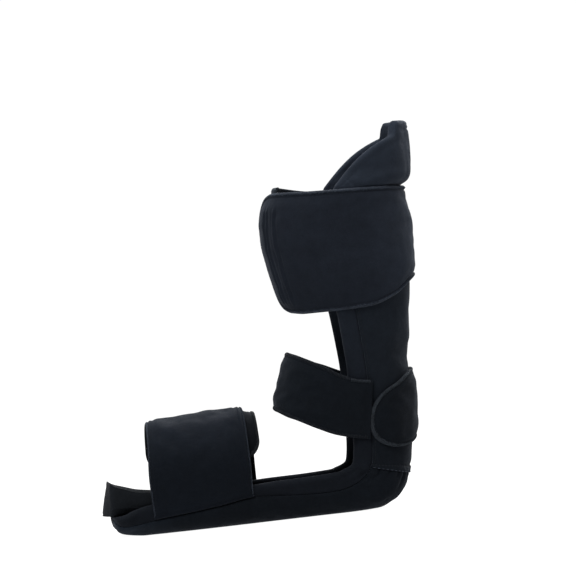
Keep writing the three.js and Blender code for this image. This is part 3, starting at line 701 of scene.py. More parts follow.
def folds_outside(place, run, seam):
    """Folds and waves of the outer fabric, by place and distances from the middle and the seam."""
    waves = 0.38 * ripple(place, run, 46.0, 3) + 0.16 * ripple(place, run, 17.0, 4)
    to_hem = HEM_PLACE - place
    gathers = 0.5 * (to_hem > 0) * np.exp(-np.abs(to_hem) / 12.0)
    for line, depth, reach in TUCKS:
        off = np.abs(run) - line - 0.12 * to_hem - 0.8 * ripple(place, run, 25.0, int(line))
        gathers = gathers - depth * (to_hem > 0) * hump(to_hem, 0, reach) * hump(off, 0, 1.45)
    heel = 1.1 * between(to_hem, 12, 18, 34, 46)
    for line in (25.0, 29.5, 34.0):
        off = np.abs(run) - line - 1.5 * ripple(place, run, 20.0, 7)
        gathers = gathers - heel * hump(off, 0, 1.1)
    waves = (waves - 0.3) * smooth(seam, 0.0, 7.0)
    return waves + gathers + 0.22 * pucker(place, run, seam, 7.5, 25.0, 6)


def seam_depth(place):
    """How deep the groove between the outer fabric and the border is, as a share."""
    toe = smooth(place, 32.0, 60.0)
    heel = 1.0 - smooth(place, SOLE_SEAM_END - 45.0, SOLE_SEAM_END - 5.0) * (place < HEM_PLACE)
    return 0.25 + 0.72 * toe * heel


def corner_folds(points):
    """Soft folds that run down and forwards from the boot's inner corner."""
    x, z = points[..., 0], points[..., 2]
    total = crease(x, z, [(21, 38.5), (12, 34), (1, 29)], 1.5, -1.9)
    total = total + crease(x, z, [(19, 33), (10, 29.5), (2, 25)], 1.4, -1.6)
    return total + crease(x, z, [(9, 40), (1, 36), (-10, 33)], 1.5, -1.3)


def under_straps(points):
    """1 where a strap lies on the shell, so that its folds are kept low there."""
    x, z = points[..., 0], points[..., 2]
    ankle = between(z, 44, 58, 124, 138) * (x > 0)
    foot = between(x, -190, -182, -88, -80) * (z < 60)
    return np.maximum(np.maximum(ankle, smooth(z, 180, 192)), foot)


def border_relief(place, runs, past, rim_in, border, base):
    """The padded border between the outer fabric's seam and the rim."""
    groove = seam_depth(place) * np.exp(-np.clip(past, 0, None) / 1.3)
    puff = np.minimum(2.5, border * 0.2) * (1 - groove) - 0.1
    puff *= smooth(rim_in, 0.0, 6.0) * 0.55 + 0.45
    wave = 0.3 * ripple(place, runs, 38.0, 11) + 0.16 * pucker(place, runs, past, 8.5, 28.0, 12)
    wave = (wave + corner_folds(base)) * smooth(past, 0, 2) * (1 - 0.75 * under_straps(base))
    covered = 1.0 - smooth(place, PANEL_END - 20, PANEL_END)
    return np.where(past > 0, covered * (puff + wave), 0.0)


FLAP_SEAM = 27.5


def flap_relief(places, place, runs, base, rim_in, top):
    """The flap above the calf strap: soft waves, seams beside the middle and a hem at its edges."""
    y, z = np.abs(base[..., 1]), base[..., 2]
    edge = np.minimum(rim_in, top)
    seams = -0.6 * hump(y, FLAP_SEAM, 1.1) + 0.25 * hump(y, FLAP_SEAM - 3, 1.8)
    hem = -0.28 * hump(edge, 8.5, 0.9) + 0.1 * (1 - smooth(edge, 6, 9))
    bands = -0.5 * (hump(top, 4.6, 0.7) + hump(top, 8.2, 0.7)) * (y < FLAP_SEAM)
    soft = 0.4 * ripple(place, runs, 52.0, 13) + 0.1 * ripple(place, runs, 15.0, 14)
    rows = slice(int(np.searchsorted(places, PANEL_END - 12)), len(places))
    sewn = np.maximum(1 - smooth(edge, 3, 9), hump(y, FLAP_SEAM, 1.5))[rows]
    sewn[:3] = 1
    soft[rows] += settle(base[rows], sewn, 0.02, 0.7, 4)
    total = seams * (top > 3) + hem + bands + soft * smooth(edge, 4, 14)
    rest = 2.6 * between(z, 292.5, 296.5, 302, 315)
    return smooth(z, 280, 297) * total + rest * smooth(edge, 0, 12)


def lining_relief(places, lengths, place, runs, rim_in, top):
    """The lining: a seam inside the rim and soft hollows."""
    tuck = -0.9 * hump(rim_in, 11.0, 1.1)
    hollow = 0.7 * ripple(place, runs, 40.0, 21) + 0.25 * ripple(place, runs, 14.0, 22)
    flat = shell_rows(places, lengths, runs * 0, lining=True)
    sewn = np.maximum(1 - smooth(rim_in, 9, 14), 1 - smooth(np.minimum(place, top), 3, 12))
    hollow = hollow - settle(flat, sewn, 0.025, 1.0, 5)
    return (tuck + hollow * smooth(rim_in, 8, 20)) * smooth(place, 12, 40)


def make_shell():
    places = spaced(0.0, PLACES[-1], 2.1, [0.4, 0.9, 1.6, 2.6, 3.8, 5.2, 7.0])
    borders, halves = sections_at(places)[:, EDGE], half_length(places)
    runs = np.array([both_sides(border_columns(*pair)[1]) for pair in zip(halves, borders)])
    half, border = halves[:, None], borders[:, None]
    lengths = runs / half
    place = places[:, None] + runs * 0
    rim_in = half - np.abs(runs)
    past = np.abs(runs) - (half - border)
    base = shell_rows(places, lengths, runs * 0)
    top = np.linalg.norm(base[-1][None] - base, axis=-1)
    from_toe = np.linalg.norm(base - base[0][None], axis=-1)
    relief = border_relief(place, runs, past, rim_in, border, base)
    relief = relief + flap_relief(places, place, runs, base, rim_in, top)
    outer = shell_rows(places, lengths, relief)
    relief = lining_relief(places, lengths, place, runs, rim_in, top)
    inner = shell_rows(places, lengths, relief, lining=True)
    middle = (outer + inner) / 2
    keep = np.minimum(
        rounding(rim_in, np.minimum(RIM_RADIUS, border * 0.45)), rounding(top, RIM_RADIUS)
    )
    keep = np.minimum(keep, rounding(from_toe, 0.8))[..., None]
    outer, inner = (middle + (face - middle) * keep for face in (outer, inner))
    pad("padded_shell_cloth", "padded_shell", outer, inner, SHELL_CLOTH)


def cover_grid(start, end, step):
    """The places and distances of a layer of outer fabric, and the shell beneath it."""
    places = spaced(start, end, step, [0.4, 0.9, 1.5, 2.3, 3.2, 4.3, 5.6, 7.2])
    borders, halves = sections_at(places)[:, EDGE], half_length(places)
    runs = np.array([both_sides(border_columns(*pair)[0]) for pair in zip(halves, borders)])
    place = places[:, None] + runs * 0
    seam = halves[:, None] - borders[:, None] - np.abs(runs)
    base = shell_rows(places, runs / halves[:, None], runs * 0)
    return places, halves, runs, place, seam, base


def add_cover(name, node, places, lengths, relief, full, lift, material):
    """A layer of outer fabric, whose edges come down onto the shell."""
    outer = shell_rows(places, lengths, GAP + (SKIN - GAP + relief) * full)
    outer[1:-1, :, 2] += lift[1:-1]
    inner = shell_rows(places, lengths, GAP + lengths * 0)
    inner[0], inner[-1] = outer[0], outer[-1]
    outer[:, 0], outer[:, -1] = inner[:, 0], inner[:, -1]
    pad(name, node, outer, inner, material)
    return outer


def make_sole_cover():
    places, halves, runs, place, seam, base = cover_grid(0.0, HEM_PLACE, 2.0)
    to_end = np.minimum(place, HEM_PLACE - place)
    sewn = np.maximum(1 - smooth(seam, 0.3, 2.5), 1 - smooth(to_end, 1, 5))
    relief = folds_outside(place, runs, seam) + settle(base, sewn, 0.03, 0.8, 2)
    relief += corner_folds(base) * smooth(seam, 0, 2)
    # on the ground the fabric is flat
    relief *= 1 - (1 - smooth(base[..., 2] - SKIN, 0.5, 4.0)) * (place > 12)
    relief *= 1 - 0.6 * under_straps(base)
    full = 1 - seam_depth(place) * np.exp(-np.clip(seam, 0, None) / 1.3)
    full *= rounding(place, 1.4) * (1 - np.exp(-(HEM_PLACE - place) / 0.25))
    # at the back of the heel the edge reaches up to the hem
    lift = 1.6 * np.exp((place - HEM_PLACE) / 1.8) * smooth(base[..., 0], 30, 50)
    lengths = runs / halves[:, None]
    add_cover("sole_cover_cloth", "sole_cover", places, lengths, relief, full, lift, COVER_CLOTH)


def make_rear_panel():
    start = HEM_PLACE + 0.35
    places, halves, runs, place, seam, base = cover_grid(start, PANEL_END, 2.7)
    above, below = place - start, PANEL_END - place
    sewn = np.maximum(1 - smooth(seam, 0.5, 4.0), 1 - smooth(np.minimum(above, below), 1, 7))
    relief = folds_outside(place, runs, seam) + settle(base, sewn, 0.022, 0.5, 3)
    relief *= 1 - 0.7 * under_straps(base)
    relief += 0.8 * (1 - smooth(above, 6.2, 7.8)) + 0.35 * np.sin(runs / 1.1) * np.exp(-above / 6)
    relief -= 0.7 * hump(above, 7.6, 0.8) + 0.6 * hump(seam, 2.6, 0.6) * (above > 5)
    full = (1 - np.exp(-np.clip(seam, 0, None) / 1.2)) * rounding(above, 0.6) * rounding(below, 1.4)
    lengths = runs / halves[:, None]
    flat = 0 * seam
    outer = add_cover(
        "rear_panel_cloth", "rear_panel", places, lengths, relief, full, flat, PANEL_CLOTH
    )
    return places, runs, halves, outer


# --------------------------------------------------------------- the straps

THICK, STRAP_GAP = 4.5, 0.9
LEVELS = sections_at(np.linspace(PLACES[len(FOOT) + len(HEEL) - 2], PLACES[-3], 240))
LEVELS = LEVELS[np.argsort(LEVELS[:, 1])]


def walk(x, y, share):
    """The point on each row's line at a share of its length."""
    run = np.concatenate([x[:, :1] * 0, np.cumsum(np.hypot(np.diff(x), np.diff(y)), 1)], 1)
    at = share * run[:, -1]
    k = np.clip((run <= at[:, None]).sum(1) - 1, 0, run.shape[1] - 2)
    rows = np.arange(len(k))
    t = np.clip((at - run[rows, k]) / np.maximum(run[rows, k + 1] - run[rows, k], 1e-9), 0, 1)
    return mix(x[rows, k], x[rows, k + 1], t), mix(y[rows, k], y[rows, k + 1], t)


def loop_points(share, z, out, front, nose):
    """Points on a strap's loop round the leg at height z: share 0 is the middle of the back, 1 the
    front by the near side and 2 the back again."""
    share, z, out, front = (np.ravel(v) for v in np.broadcast_arrays(share, z, out, front))
    back, half, bowl = (
        np.interp(z, LEVELS[:, 1], LEVELS[:, k])[:, None] for k in (0, HALF_WIDTH, BOWL)
    )
    a = np.linspace(0, math.pi / 2, 33)[None]
    o, f = out[:, None], front[:, None]
    behind = back - bowl + (bowl + o) * np.cos(a)
    before = nose - f - (nose + o) * np.cos(a)
    y = (half + o) * np.sin(a)
    turned = np.mod(share, 2.0)
    x = np.hstack([behind, before[:, ::-1]])
    x, y = walk(x, np.hstack([y, y[:, ::-1]]), np.where(turned <= 1, turned, 2 - turned))
    return np.stack([x, np.where(turned <= 1, -1.0, 1.0) * y, z], -1)


def half_loop(z, front, nose):
    return run_length(loop_points(np.linspace(0, 1, 200), z, 0.0, front, nose))[-1]


def ring_of(grid):
    """The outline of a grid, once round."""
    return np.concatenate([grid[0], grid[1:, -1], grid[-1, -2::-1], grid[-2:0:-1, 0]])


END_STEPS = np.array([0.2, 0.6, 1.2, 2.0, 2.9, 3.8, 4.9])
SIDE_STEPS = np.array([0.0, 0.2, 0.6, 1.2, 2.0, 2.9, 3.8, 4.7, 5.6, 6.8])


def band_grid(along, low, tall, width, count):
    """The (a, b) grid of a band from its lower edge and its height, finer near both edges."""
    fine = SIDE_STEPS[:-1]
    body = np.linspace(SIDE_STEPS[-1], width - SIDE_STEPS[-1], count)
    steps = np.concatenate([fine, body, (width - fine)[::-1]]) / width
    b = low[:, None] + tall[:, None] * steps[None]
    return along[:, None] + b * 0, b


def end_share(along, end, corner):
    """0 where the rounded end of a band starts and 1 at its tip."""
    return np.clip(1 - np.abs(along - end) / corner, 0, 1)


def corner_cut(share, corner):
    return corner * (1 - np.sqrt(np.clip(1 - share**2, 0, 1)))


def turn_steps(corner, count, last=0.0):
    return corner * (1 - np.cos(np.linspace(math.pi / 2, last, count)))


def even_base(height):
    return lambda a: np.full(np.shape(a), height)


class Band:
    """A flat padded strap. place(a, b, out) gives the point at a along, b across and out above what
    it lies on; base(a) is its stand-off and relief(a, b, edge) the height of its folds."""

    def __init__(self, node, grid, place, base, relief, material, fill=0.3):
        a, b = grid
        name = node + "_cloth"
        self.node, self.place, self.base, self.relief = node, place, base, relief
        ring = np.column_stack([ring_of(a), ring_of(b)])
        self.ring = np.vstack([ring, ring[:1]])
        edge = to_line(a, b, self.ring)[0]
        low, high = self.faces(a, b, edge)
        face = place(a, b, base(a) + THICK).reshape(*a.shape, 3)
        high = high + settle(face, 1 - smooth(edge, 3, 10), 0.02, 0.6, len(name))
        outer, inner = (place(a, b, out).reshape(*a.shape, 3) for out in (high, low))
        pad(name, node, outer, inner, material)

    def faces(self, a, b, edge):
        """Stand-off of the inner and outer face, which meet in a rounded, thinner edge."""
        thick = THICK - 1.5 * (1 - smooth(edge, 0.0, 10.0))
        full = rounding(edge, 1.5)
        middle = self.base(a) + thick / 2
        return middle - thick / 2 * full, middle + (thick / 2 + self.relief(a, b, edge)) * full

    def on(self, a, b, edge, lift=0.0):
        """Points on the outside at (a, b), which lie edge in from the outline, and normals."""
        out = self.faces(a, b, edge)[1] + lift
        here = self.place(a, b, out)
        da = self.place(a + 0.3, b, out) - self.place(a - 0.3, b, out)
        db = self.place(a, b + 0.3, out) - self.place(a, b - 0.3, out)
        normal = unit(np.cross(da, db))
        outwards = self.place(a, b, out + 1.0) - here
        return here, normal * np.sign(np.einsum("ij,ij->i", normal, outwards))[:, None]

    def outline(self, pitch, keep):
        """Points of the outline, evenly resampled, and the flat directions inwards from them."""
        run = run_length(self.ring)
        at = np.arange(0, run[-1], pitch)
        (a, b), (a1, b1), (a0, b0) = (
            [np.interp(np.mod(at + step, run[-1]), run, self.ring[:, k]) for k in (0, 1)]
            for step in (0.0, 1.5, -1.5)
        )
        size = np.maximum(np.hypot(a1 - a0, b1 - b0), 1e-9)
        area = np.sum(self.ring[:-1, 0] * self.ring[1:, 1] - self.ring[1:, 0] * self.ring[:-1, 1])
        size = size * (1.0 if area > 0 else -1.0)
        chosen = keep(a, b)
        return [v[chosen] for v in (a, b, (b0 - b1) / size, (a1 - a0) / size)]

    def overlock(self, name, width, pitch, material, keep, radius=0.32):
        """Slanting threads wrapped over the edge, from just outside it to width inside."""
        a, b, na, nb = self.outline(pitch, keep)
        random = np.random.default_rng(len(a))
        lines = []
        for share in (0.0, 0.08, 0.25, 0.6, 1.0):
            reach = share * width * (1 + 0.14 * random.standard_normal(len(a)) * (share == 1))
            move = 0.5 * pitch * (2 * share - 1)
            at = a + na * reach + nb * move, b + nb * reach - na * move
            lines.append(self.on(*at, reach, 0.18))
        paths, ups = (np.stack(parts, 1) for parts in zip(*lines))
        threads(name, paths, ups, radius, material)

    def stitch(self, name, edge, radius, keep):
        """A run of stitches along the outline, edge in from it."""
        a, b, na, nb = self.outline(1.0, keep)
        line = self.on(a + na * edge, b + nb * edge, np.full(a.shape, edge))
        stitches(name, [line], 3.2, 2.3, radius, SEAM_THREAD)


# The calf strap and the half beneath it. A row has the share of the half loop, the two edges as
# shares of the height down from the top, and the lift over the underlap as a share of a strap's.
# CALF_FRONT has the bulge in front by how far down it is.

CALF_TOP, CALF_TALL, CALF_BULGE, CALF_NOSE = HEIGHT - 58.0, 111.0, 43.0, 55.0
UNDERLAP_RISE, UNDERLAP_LOW = 8.0, 0.8
CALF_ROWS = np.array([
    (-0.43, 0.87, 0.025, 0.0),
    (-0.25, 0.82, 0.025, 0.0),
    (0.0, 0.78, 0.025, 0.0),
    (0.14, 0.82, 0.018, 0.0),
    (0.28, 0.92, 0.01, 0.0),
    (0.44, 0.99, 0.002, 0.0),
    (0.6, 1.0, -0.006, 0.0),
    (0.71, 1.0, -0.014, 0.15),
    (0.8, 1.0, -0.023, 0.8),
    (0.86, 0.99, -0.026, 1.06),
    (1.03, 0.96, -0.02, 1.03),
])
CALF_FRONT = np.array([
    (-0.06, 0.78),
    (0.045, 0.88),
    (0.13, 0.95),
    (0.25, 1.0),
    (0.37, 1.0),
    (0.56, 0.935),
    (0.775, 0.82),
    (0.92, 0.72),
    (1.0, 0.64),
])
# Raised welts in front: places on the half loop at the top and the bottom, and height
WELTS = ((0.822, 0.832, 1.7), (0.873, 0.878, 1.1), (0.9, 0.9, 1.2))
CALF_CREASES = (
    ([(20, 215), (60, 205), (110, 199)], 7.0, -0.6),
    ([(-10, 280), (50, 287), (110, 285)], 6.0, -0.4),
    ([(15, 250), (45, 240), (75, 238)], 9.0, -0.45),
)


def calf_front(z):
    drop = (CALF_TOP - z) / CALF_TALL
    return CALF_BULGE * cubic(CALF_FRONT[:, 0], CALF_FRONT[:, 1:], drop)[:, 0]


CALF_LOOP = half_loop(CALF_TOP - CALF_TALL / 2, CALF_BULGE, CALF_NOSE)


def calf_place(a, b, out):
    a, z, out = (np.ravel(v) for v in np.broadcast_arrays(a, b, out))
    front = calf_front(np.clip(z, CALF_TOP - CALF_TALL, CALF_TOP + UNDERLAP_RISE))
    return loop_points(a / CALF_LOOP, z, out, front, CALF_NOSE)


def calf_base(a):
    rows = cubic(CALF_ROWS[:, 0], CALF_ROWS[:, 1:], np.ravel(a) / CALF_LOOP)
    return (SKIN + STRAP_GAP + (THICK + STRAP_GAP) * rows[:, 2]).reshape(np.shape(a))


def calf_relief(a, b, edge):
    low = CALF_TOP - CALF_TALL
    waves = 0.5 * ripple(a, b, 60.0, 31) + 0.16 * ripple(a, b, 18.0, 32)
    total = waves * smooth(edge, 5, 16) * 0.8 + 0.8 * hump(edge, 1.7, 1.0) - hump(edge, 3.9, 0.7)
    ends = between(b, low + 8, low + 16, CALF_TOP - 16, CALF_TOP - 9)
    for top, bottom, height in WELTS:
        off = a - mix(bottom, top, (b - low) / CALF_TALL) * CALF_LOOP
        total = total + ends * height * (hump(off, 0, 1.1) - 0.3 * hump(off, -2.4, 1.1))
    for line, width, depth in CALF_CREASES:
        total = total + crease(a, b, line, width, depth)
    return total


def make_calf_strap():
    start, end = CALF_ROWS[0, 0] * CALF_LOOP, CALF_ROWS[-1, 0] * CALF_LOOP
    corner = 27.0
    turn = end - turn_steps(corner, 16)
    body = np.arange(start + 6.0, turn[0] - 1.0, 2.3)
    welts = np.arange(0.8, 0.925, 0.003) * CALF_LOOP
    body = body[(body < welts[0] - 0.8) | (body > welts[-1] + 0.8)]
    turn = turn[(turn < welts[0] - 0.3) | (turn > welts[-1] + 0.3)]
    ends = [[start], start + END_STEPS, end - END_STEPS]
    along = np.unique(np.concatenate(ends + [body, welts, turn]).round(3))
    rows = cubic(CALF_ROWS[:, 0], CALF_ROWS[:, 1:], along / CALF_LOOP)
    cut = corner_cut(end_share(np.minimum(along, end), end, corner), corner)
    low = CALF_TOP - CALF_TALL * rows[:, 0] + cut
    high = CALF_TOP - CALF_TALL * rows[:, 1] - cut * 0.75
    grid = band_grid(along, low, high - low, 100.0, 38)
    band = Band("calf_strap", grid, calf_place, calf_base, calf_relief, CALF_CLOTH, 0.4)
    band.stitch("calf_strap_stitches", 3.7, 0.22, lambda a, b: a > start - 1)
    band.overlock("calf_strap_rim", 2.4, 0.9, RIM_THREAD, lambda a, b: a > start + 2, 0.24)


def underlap_relief(a, b, edge):
    return 0.3 * ripple(a, b, 50.0, 41) * smooth(edge, 5, 16) - 0.6 * hump(edge, 4.9, 0.75) - 0.3


def make_underlap():
    along = spaced(0.91 * CALF_LOOP, 1.555 * CALF_LOOP, 2.6, END_STEPS)
    low = np.full(along.shape, CALF_TOP - CALF_TALL * UNDERLAP_LOW)
    high = CALF_TOP + UNDERLAP_RISE * (1 - smooth(along / CALF_LOOP, 1.1, 1.5))
    grid = band_grid(along, low, high - low, 100.0, 31)
    base = even_base(SKIN + STRAP_GAP)
    band = Band("calf_strap_underlap", grid, calf_place, base, underlap_relief, CALF_CLOTH)
    band.overlock("underlap_overlock", 2.8, 1.3, GREY_THREAD, lambda a, b: b > CALF_TOP - 8)


# The ankle strap. A row has the share of the half loop, the height of the middle and the width.

ANKLE_LEVEL, ANKLE_FRONT, ANKLE_RAKE, ANKLE_NOSE, ANKLE_TALL = 127.0, 46.0, 0.34, 46.0, 56.0
ANKLE_ROWS = np.array([
    (0.385, 0.733, 0.96),
    (0.46, 0.75, 0.95),
    (0.55, 0.79, 0.98),
    (0.65, 0.858, 1.01),
    (0.76, 0.925, 0.99),
    (0.88, 0.978, 0.95),
    (1.0, 1.0, 0.92),
    (1.12, 0.978, 0.95),
    (1.24, 0.925, 0.99),
    (1.38, 0.858, 1.01),
    (1.55, 0.775, 1.0),
    (1.78, 0.75, 1.08),
    (2.0, 0.745, 1.16),
    (2.15, 0.708, 1.17),
    (2.26, 0.672, 1.06),
    (2.392, 0.66, 1.0),
])
ANKLE_LOOP = half_loop(ANKLE_LEVEL, ANKLE_FRONT, ANKLE_NOSE)


def ankle_place(a, b, out):
    a, z, out = (np.ravel(v) for v in np.broadcast_arrays(a, b, out))
    front = ANKLE_FRONT + (ANKLE_LEVEL - z) * ANKLE_RAKE
    return loop_points(a / ANKLE_LOOP, z, out, front, ANKLE_NOSE)


def ankle_relief(a, b, edge):
    total = 0.5 * ripple(a, b, 48.0, 51) + 0.16 * ripple(a, b, 15.0, 52)
    total = total * smooth(edge, 4, 14) - 0.65 * hump(edge, 3.4, 0.7)
    tab = smooth(a / ANKLE_LOOP, 2.02, 2.1)
    total = total + tab * (0.35 * hump(edge, 7.5, 2.2) - 0.5 * hump(edge, 10.3, 0.9))
    return total - 0.5 * hump(a, ANKLE_ROWS[0, 0] * ANKLE_LOOP + 5.0, 0.8)


def make_ankle_strap():
    start, end = ANKLE_ROWS[0, 0] * ANKLE_LOOP, ANKLE_ROWS[-1, 0] * ANKLE_LOOP
    tab = 30.0
    turn = end - turn_steps(tab, 26, 0.02)
    body = np.arange(start + 6.2, turn[0] - 1.0, 2.4)
    along = [[start], start + END_STEPS, body, turn, [end - 0.004]]
    along = np.unique(np.concatenate(along).round(4))
    rows = cubic(ANKLE_ROWS[:, 0], ANKLE_ROWS[:, 1:], along / ANKLE_LOOP)
    full = np.clip(1 - end_share(along, end, tab) ** 2.4, 1e-4, 1) ** (1 / 2.3)
    half = ANKLE_TALL * rows[:, 1] / 2 * full
    low = ANKLE_LEVEL * rows[:, 0] - half
    grid = band_grid(along, low, 2 * half, ANKLE_TALL, 24)
    base = even_base(SKIN + STRAP_GAP)
    band = Band("ankle_strap", grid, ankle_place, base, ankle_relief, ANKLE_CLOTH)

    def bright(a, b):
        near = (a < 0.5 * ANKLE_LOOP) & (b > 100) & (a > start + 2)
        return (a > 2.0 * ANKLE_LOOP) | near

    def dark(a, b):
        return ~bright(a, b) & (a > start + 2)

    band.overlock("ankle_strap_overlock", 2.6, 1.1, GREY_THREAD, bright, 0.28)
    band.overlock("ankle_strap_edge_thread", 2.8, 1.25, DARK_THREAD, dark, 0.24)


# The foot strap and the tab that it closes over

STRAP_BACK, STRAP_WIDE, CREST, TAB_SHOWS = 91.0, 90.0, 97.5, 11.0
FOOT_LEVELS = sections_at(np.linspace(0, PLACES[len(FOOT) - 1], 200))[::-1]
FOOT_LEVELS = FOOT_LEVELS[np.argsort(FOOT_LEVELS[:, 0])]
RIM_Z = 3


def arch_points(over, x, out):
    """Points on the arch over the foot in the plane at x, from the near seam (0) to the far (1)."""
    over, x, out = (np.ravel(v) for v in np.broadcast_arrays(over, x, out))
    levels = FOOT_LEVELS
    side = np.interp(x, levels[:, 0], levels[:, HALF_WIDTH])[:, None]
    seam = np.interp(x, levels[:, 0], levels[:, RIM_Z] - levels[:, EDGE] + 2 * GAP)[:, None]
    shoulder = WALL_TOP * 1.2
    crest = (CREST - CREST * 0.05 * (-x - STRAP_BACK) / STRAP_WIDE)[:, None]
    middle = -side * 0.12
    o = out[:, None]
    a = np.linspace(0, math.pi / 2, 37)[None]
    z = np.hstack([seam, shoulder + (crest + o - shoulder) * np.sin(a) ** 0.9])
    near, far = (
        np.hstack([face * (side + o), middle + (face * (side + o) - middle) * np.cos(a) ** 0.85])
        for face in (-1, 1)
    )
    y = np.hstack([near, far[:, -2::-1]])
    y, z = walk(y, np.hstack([z, z[:, -2::-1]]), np.clip(over, 0, 1))
    return np.stack([x, y, z], -1)


ARCH = run_length(arch_points(np.linspace(0, 1, 300), -STRAP_BACK - STRAP_WIDE / 2, 0.0))[-1]


def foot_place(a, b, out):
    return arch_points(a / ARCH, b, out)


def foot_base(a):
    return STRAP_GAP + (THICK + STRAP_GAP) * smooth(a / ARCH, 0.04, 0.16)


def foot_relief(a, b, edge):
    total = 0.6 * ripple(a, b, 42.0, 61) + 0.18 * ripple(a, b, 14.0, 62)
    total = total * smooth(edge, 5, 14) - 0.7 * hump(edge, 2.4, 0.6) + 0.5 * hump(edge, 4.2, 1.0)
    crest = 1.1 * hump(a / ARCH, 0.42, 0.1) * np.sin((b + STRAP_BACK) / 15.5 + 0.6)
    return total - 0.35 * hump(edge, 6.6, 0.9) + crest


def foot_rows(start, end, towards, step, back, wide):
    """Places along a foot band from its sewn end to its rounded free end, and its two edges."""
    corner = 20.0
    free = end - towards * turn_steps(corner, 14)
    body = np.arange(min(start, end) + 6, max(start, end) - 6, step)
    body = body[np.abs(body - end) > corner + 1]
    ends = [[start, end], start + towards * END_STEPS, end - towards * END_STEPS]
    along = np.unique(np.concatenate(ends + [free, body]).round(3))
    cut = corner_cut(end_share(along, end, corner), corner)
    over = along / ARCH
    flare = 3.5 * (1 - smooth(over, 0.12, 0.3))
    swell = 2.5 * np.sin(np.pi * np.minimum(over * 2, 1)) ** 2 + flare
    low, high = -back - wide - swell + cut, -back - cut
    return along, low, high - low


def make_foot_strap():
    rows = foot_rows(0.0, 0.86 * ARCH, 1, 2.2, STRAP_BACK, STRAP_WIDE)
    grid = band_grid(*rows, 91.0, 32)
    band = Band("foot_strap", grid, foot_place, foot_base, foot_relief, FOOT_CLOTH, 0.4)
    band.stitch("foot_strap_stitches", 2.4, 0.2, lambda a, b: a > 3)
    band.overlock("foot_strap_rim", 1.5, 1.0, RIM_THREAD, lambda a, b: a > 3, 0.18)


def tab_relief(a, b, edge):
    return 0.4 * ripple(a, b, 40.0, 71) * smooth(edge, 5, 14) - 0.65 * hump(edge, 3.4, 0.7) - 0.2


def make_foot_tab():
    back, wide = STRAP_BACK - TAB_SHOWS, STRAP_WIDE * 0.9
    grid = band_grid(*foot_rows(ARCH - 0.2, 0.16 * ARCH, -1, 2.6, back, wide), 82.0, 29)
    band = Band("foot_strap_tab", grid, foot_place, even_base(STRAP_GAP), tab_relief, TAB_CLOTH)
    band.overlock("foot_tab_overlock", 2.6, 1.2, DARK_THREAD, lambda a, b: a < ARCH * 0.97)


# ------------------------------------------------------------ the toe wedge

WEDGE_LONG, WEDGE_TALL, WEDGE_TAIL, WEDGE_OUT, WEDGE_LEAN = 120.0, 30.5, 1.5, 8.5, 8.5
WEDGE_WIDE, WEDGE_TOE_WIDE, WEDGE_TAPER, WEDGE_LIFT = 81.0, 75.0, 8.0, 2.0


def wedge_faces():
    """The top and the bottom of the wedge, on the same grid."""
    tip, tail = [0, 0.002, 0.006, 0.012, 0.02], [0.98, 0.99, 0.997, 1.0]
    along = np.concatenate([tip, np.linspace(0.03, 0.97, 46), tail])
    side = np.array([0.0, 0.005, 0.015, 0.03, 0.05, 0.08, 0.12, 0.17])
    across = np.concatenate([side - 1, np.linspace(-0.78, 0.78, 30), (1 - side)[::-1]])
    u, v = np.meshgrid(along, across, indexing="ij")
    slope = 1 - u
    bottom = BED + GAP + WEDGE_LIFT * (1 - smooth(u, 0.12, 0.3))
    thickness = mix(WEDGE_TAIL, WEDGE_TALL, 0.73 * (1 - u**2) + 0.27 * slope**8)
    half = mix(WEDGE_TOE_WIDE, WEDGE_WIDE, smooth(u, 0.15, 0.32)) / 2
    half = half - WEDGE_TAPER * smooth(u, 0.55, 1.0)
    x = -TOE - WEDGE_OUT + WEDGE_LONG * u
    rise = np.minimum(7.0, thickness * 0.6) * np.clip((np.abs(v) - 0.84) / 0.16, 0, 1)
    crown = 0.8 * (1 - v**4) * smooth(slope, 0, 0.4) + 0.3 * ripple(u * 120, v * 40, 34.0, 81)
    edge = np.minimum((1 - np.abs(v)) * half, np.minimum(u, 1 - u) * WEDGE_LONG)
    high = bottom + thickness + (crown - 0.35 * hump(edge, 2.6, 0.6)) * smooth(edge, 0, 2)
    top = np.stack([x + WEDGE_LEAN * slope**8, v * half, high], -1)
    return top, np.stack([x + WEDGE_LEAN * v**2 * slope**3, v * half, bottom + rise], -1)


def make_wedge():
    top, base = wedge_faces()
    upper, lower = ring_of(top), ring_of(base)
    # the walls between top and bottom: several rows down each side
    rows = []
    for level in (0.03, 0.09, 0.25, 0.5, 0.75, 0.91, 0.97):
        ring = mix(upper, lower, level)
        outwards = unit(ring[:, :2] - np.array([-165.0, 0.0]))
        deep = np.minimum(1.0, (upper[:, 2] - lower[:, 2]) / 12.0)[:, None]
        belly = 1.1 * math.sin(math.pi * level) ** 0.7 - 0.45 * (level in (0.03, 0.97))
        wave = 0.35 * ripple(ring[:, 0], ring[:, 1] + level * 20, 26.0, 82)[:, None]
        ring[:, :2] += outwards * deep * (belly + wave * math.sin(math.pi * level))
        rows.append(ring)
    n, m = top.shape[:2]
    ring_index = ring_of(np.arange(n * m).reshape(n, m))
    between_rows = [2 * n * m + k * len(upper) + np.arange(len(upper)) for k in range(len(rows))]
    loops = [ring_index] + between_rows + [n * m + ring_index]
    faces = [quads(n, m)[:, ::-1], quads(n, m, n * m)]
    for above, below in zip(loops[:-1], loops[1:]):
        faces.append(np.stack([above, below, np.roll(below, -1), np.roll(above, -1)], -1))
    points = np.vstack([top.reshape(-1, 3), base.reshape(-1, 3)] + rows)
    piece = add_mesh("toe_wedge_foam", points, np.vstack(faces).tolist(), WEDGE_CLOTH)
    finish_pad(piece, "toe_wedge")


# ------------------------------------------------------------------- build

make_shell()
make_sole_cover()
panel = make_rear_panel()
make_calf_strap()
make_underlap()
make_ankle_strap()
make_foot_strap()
make_foot_tab()
make_wedge()


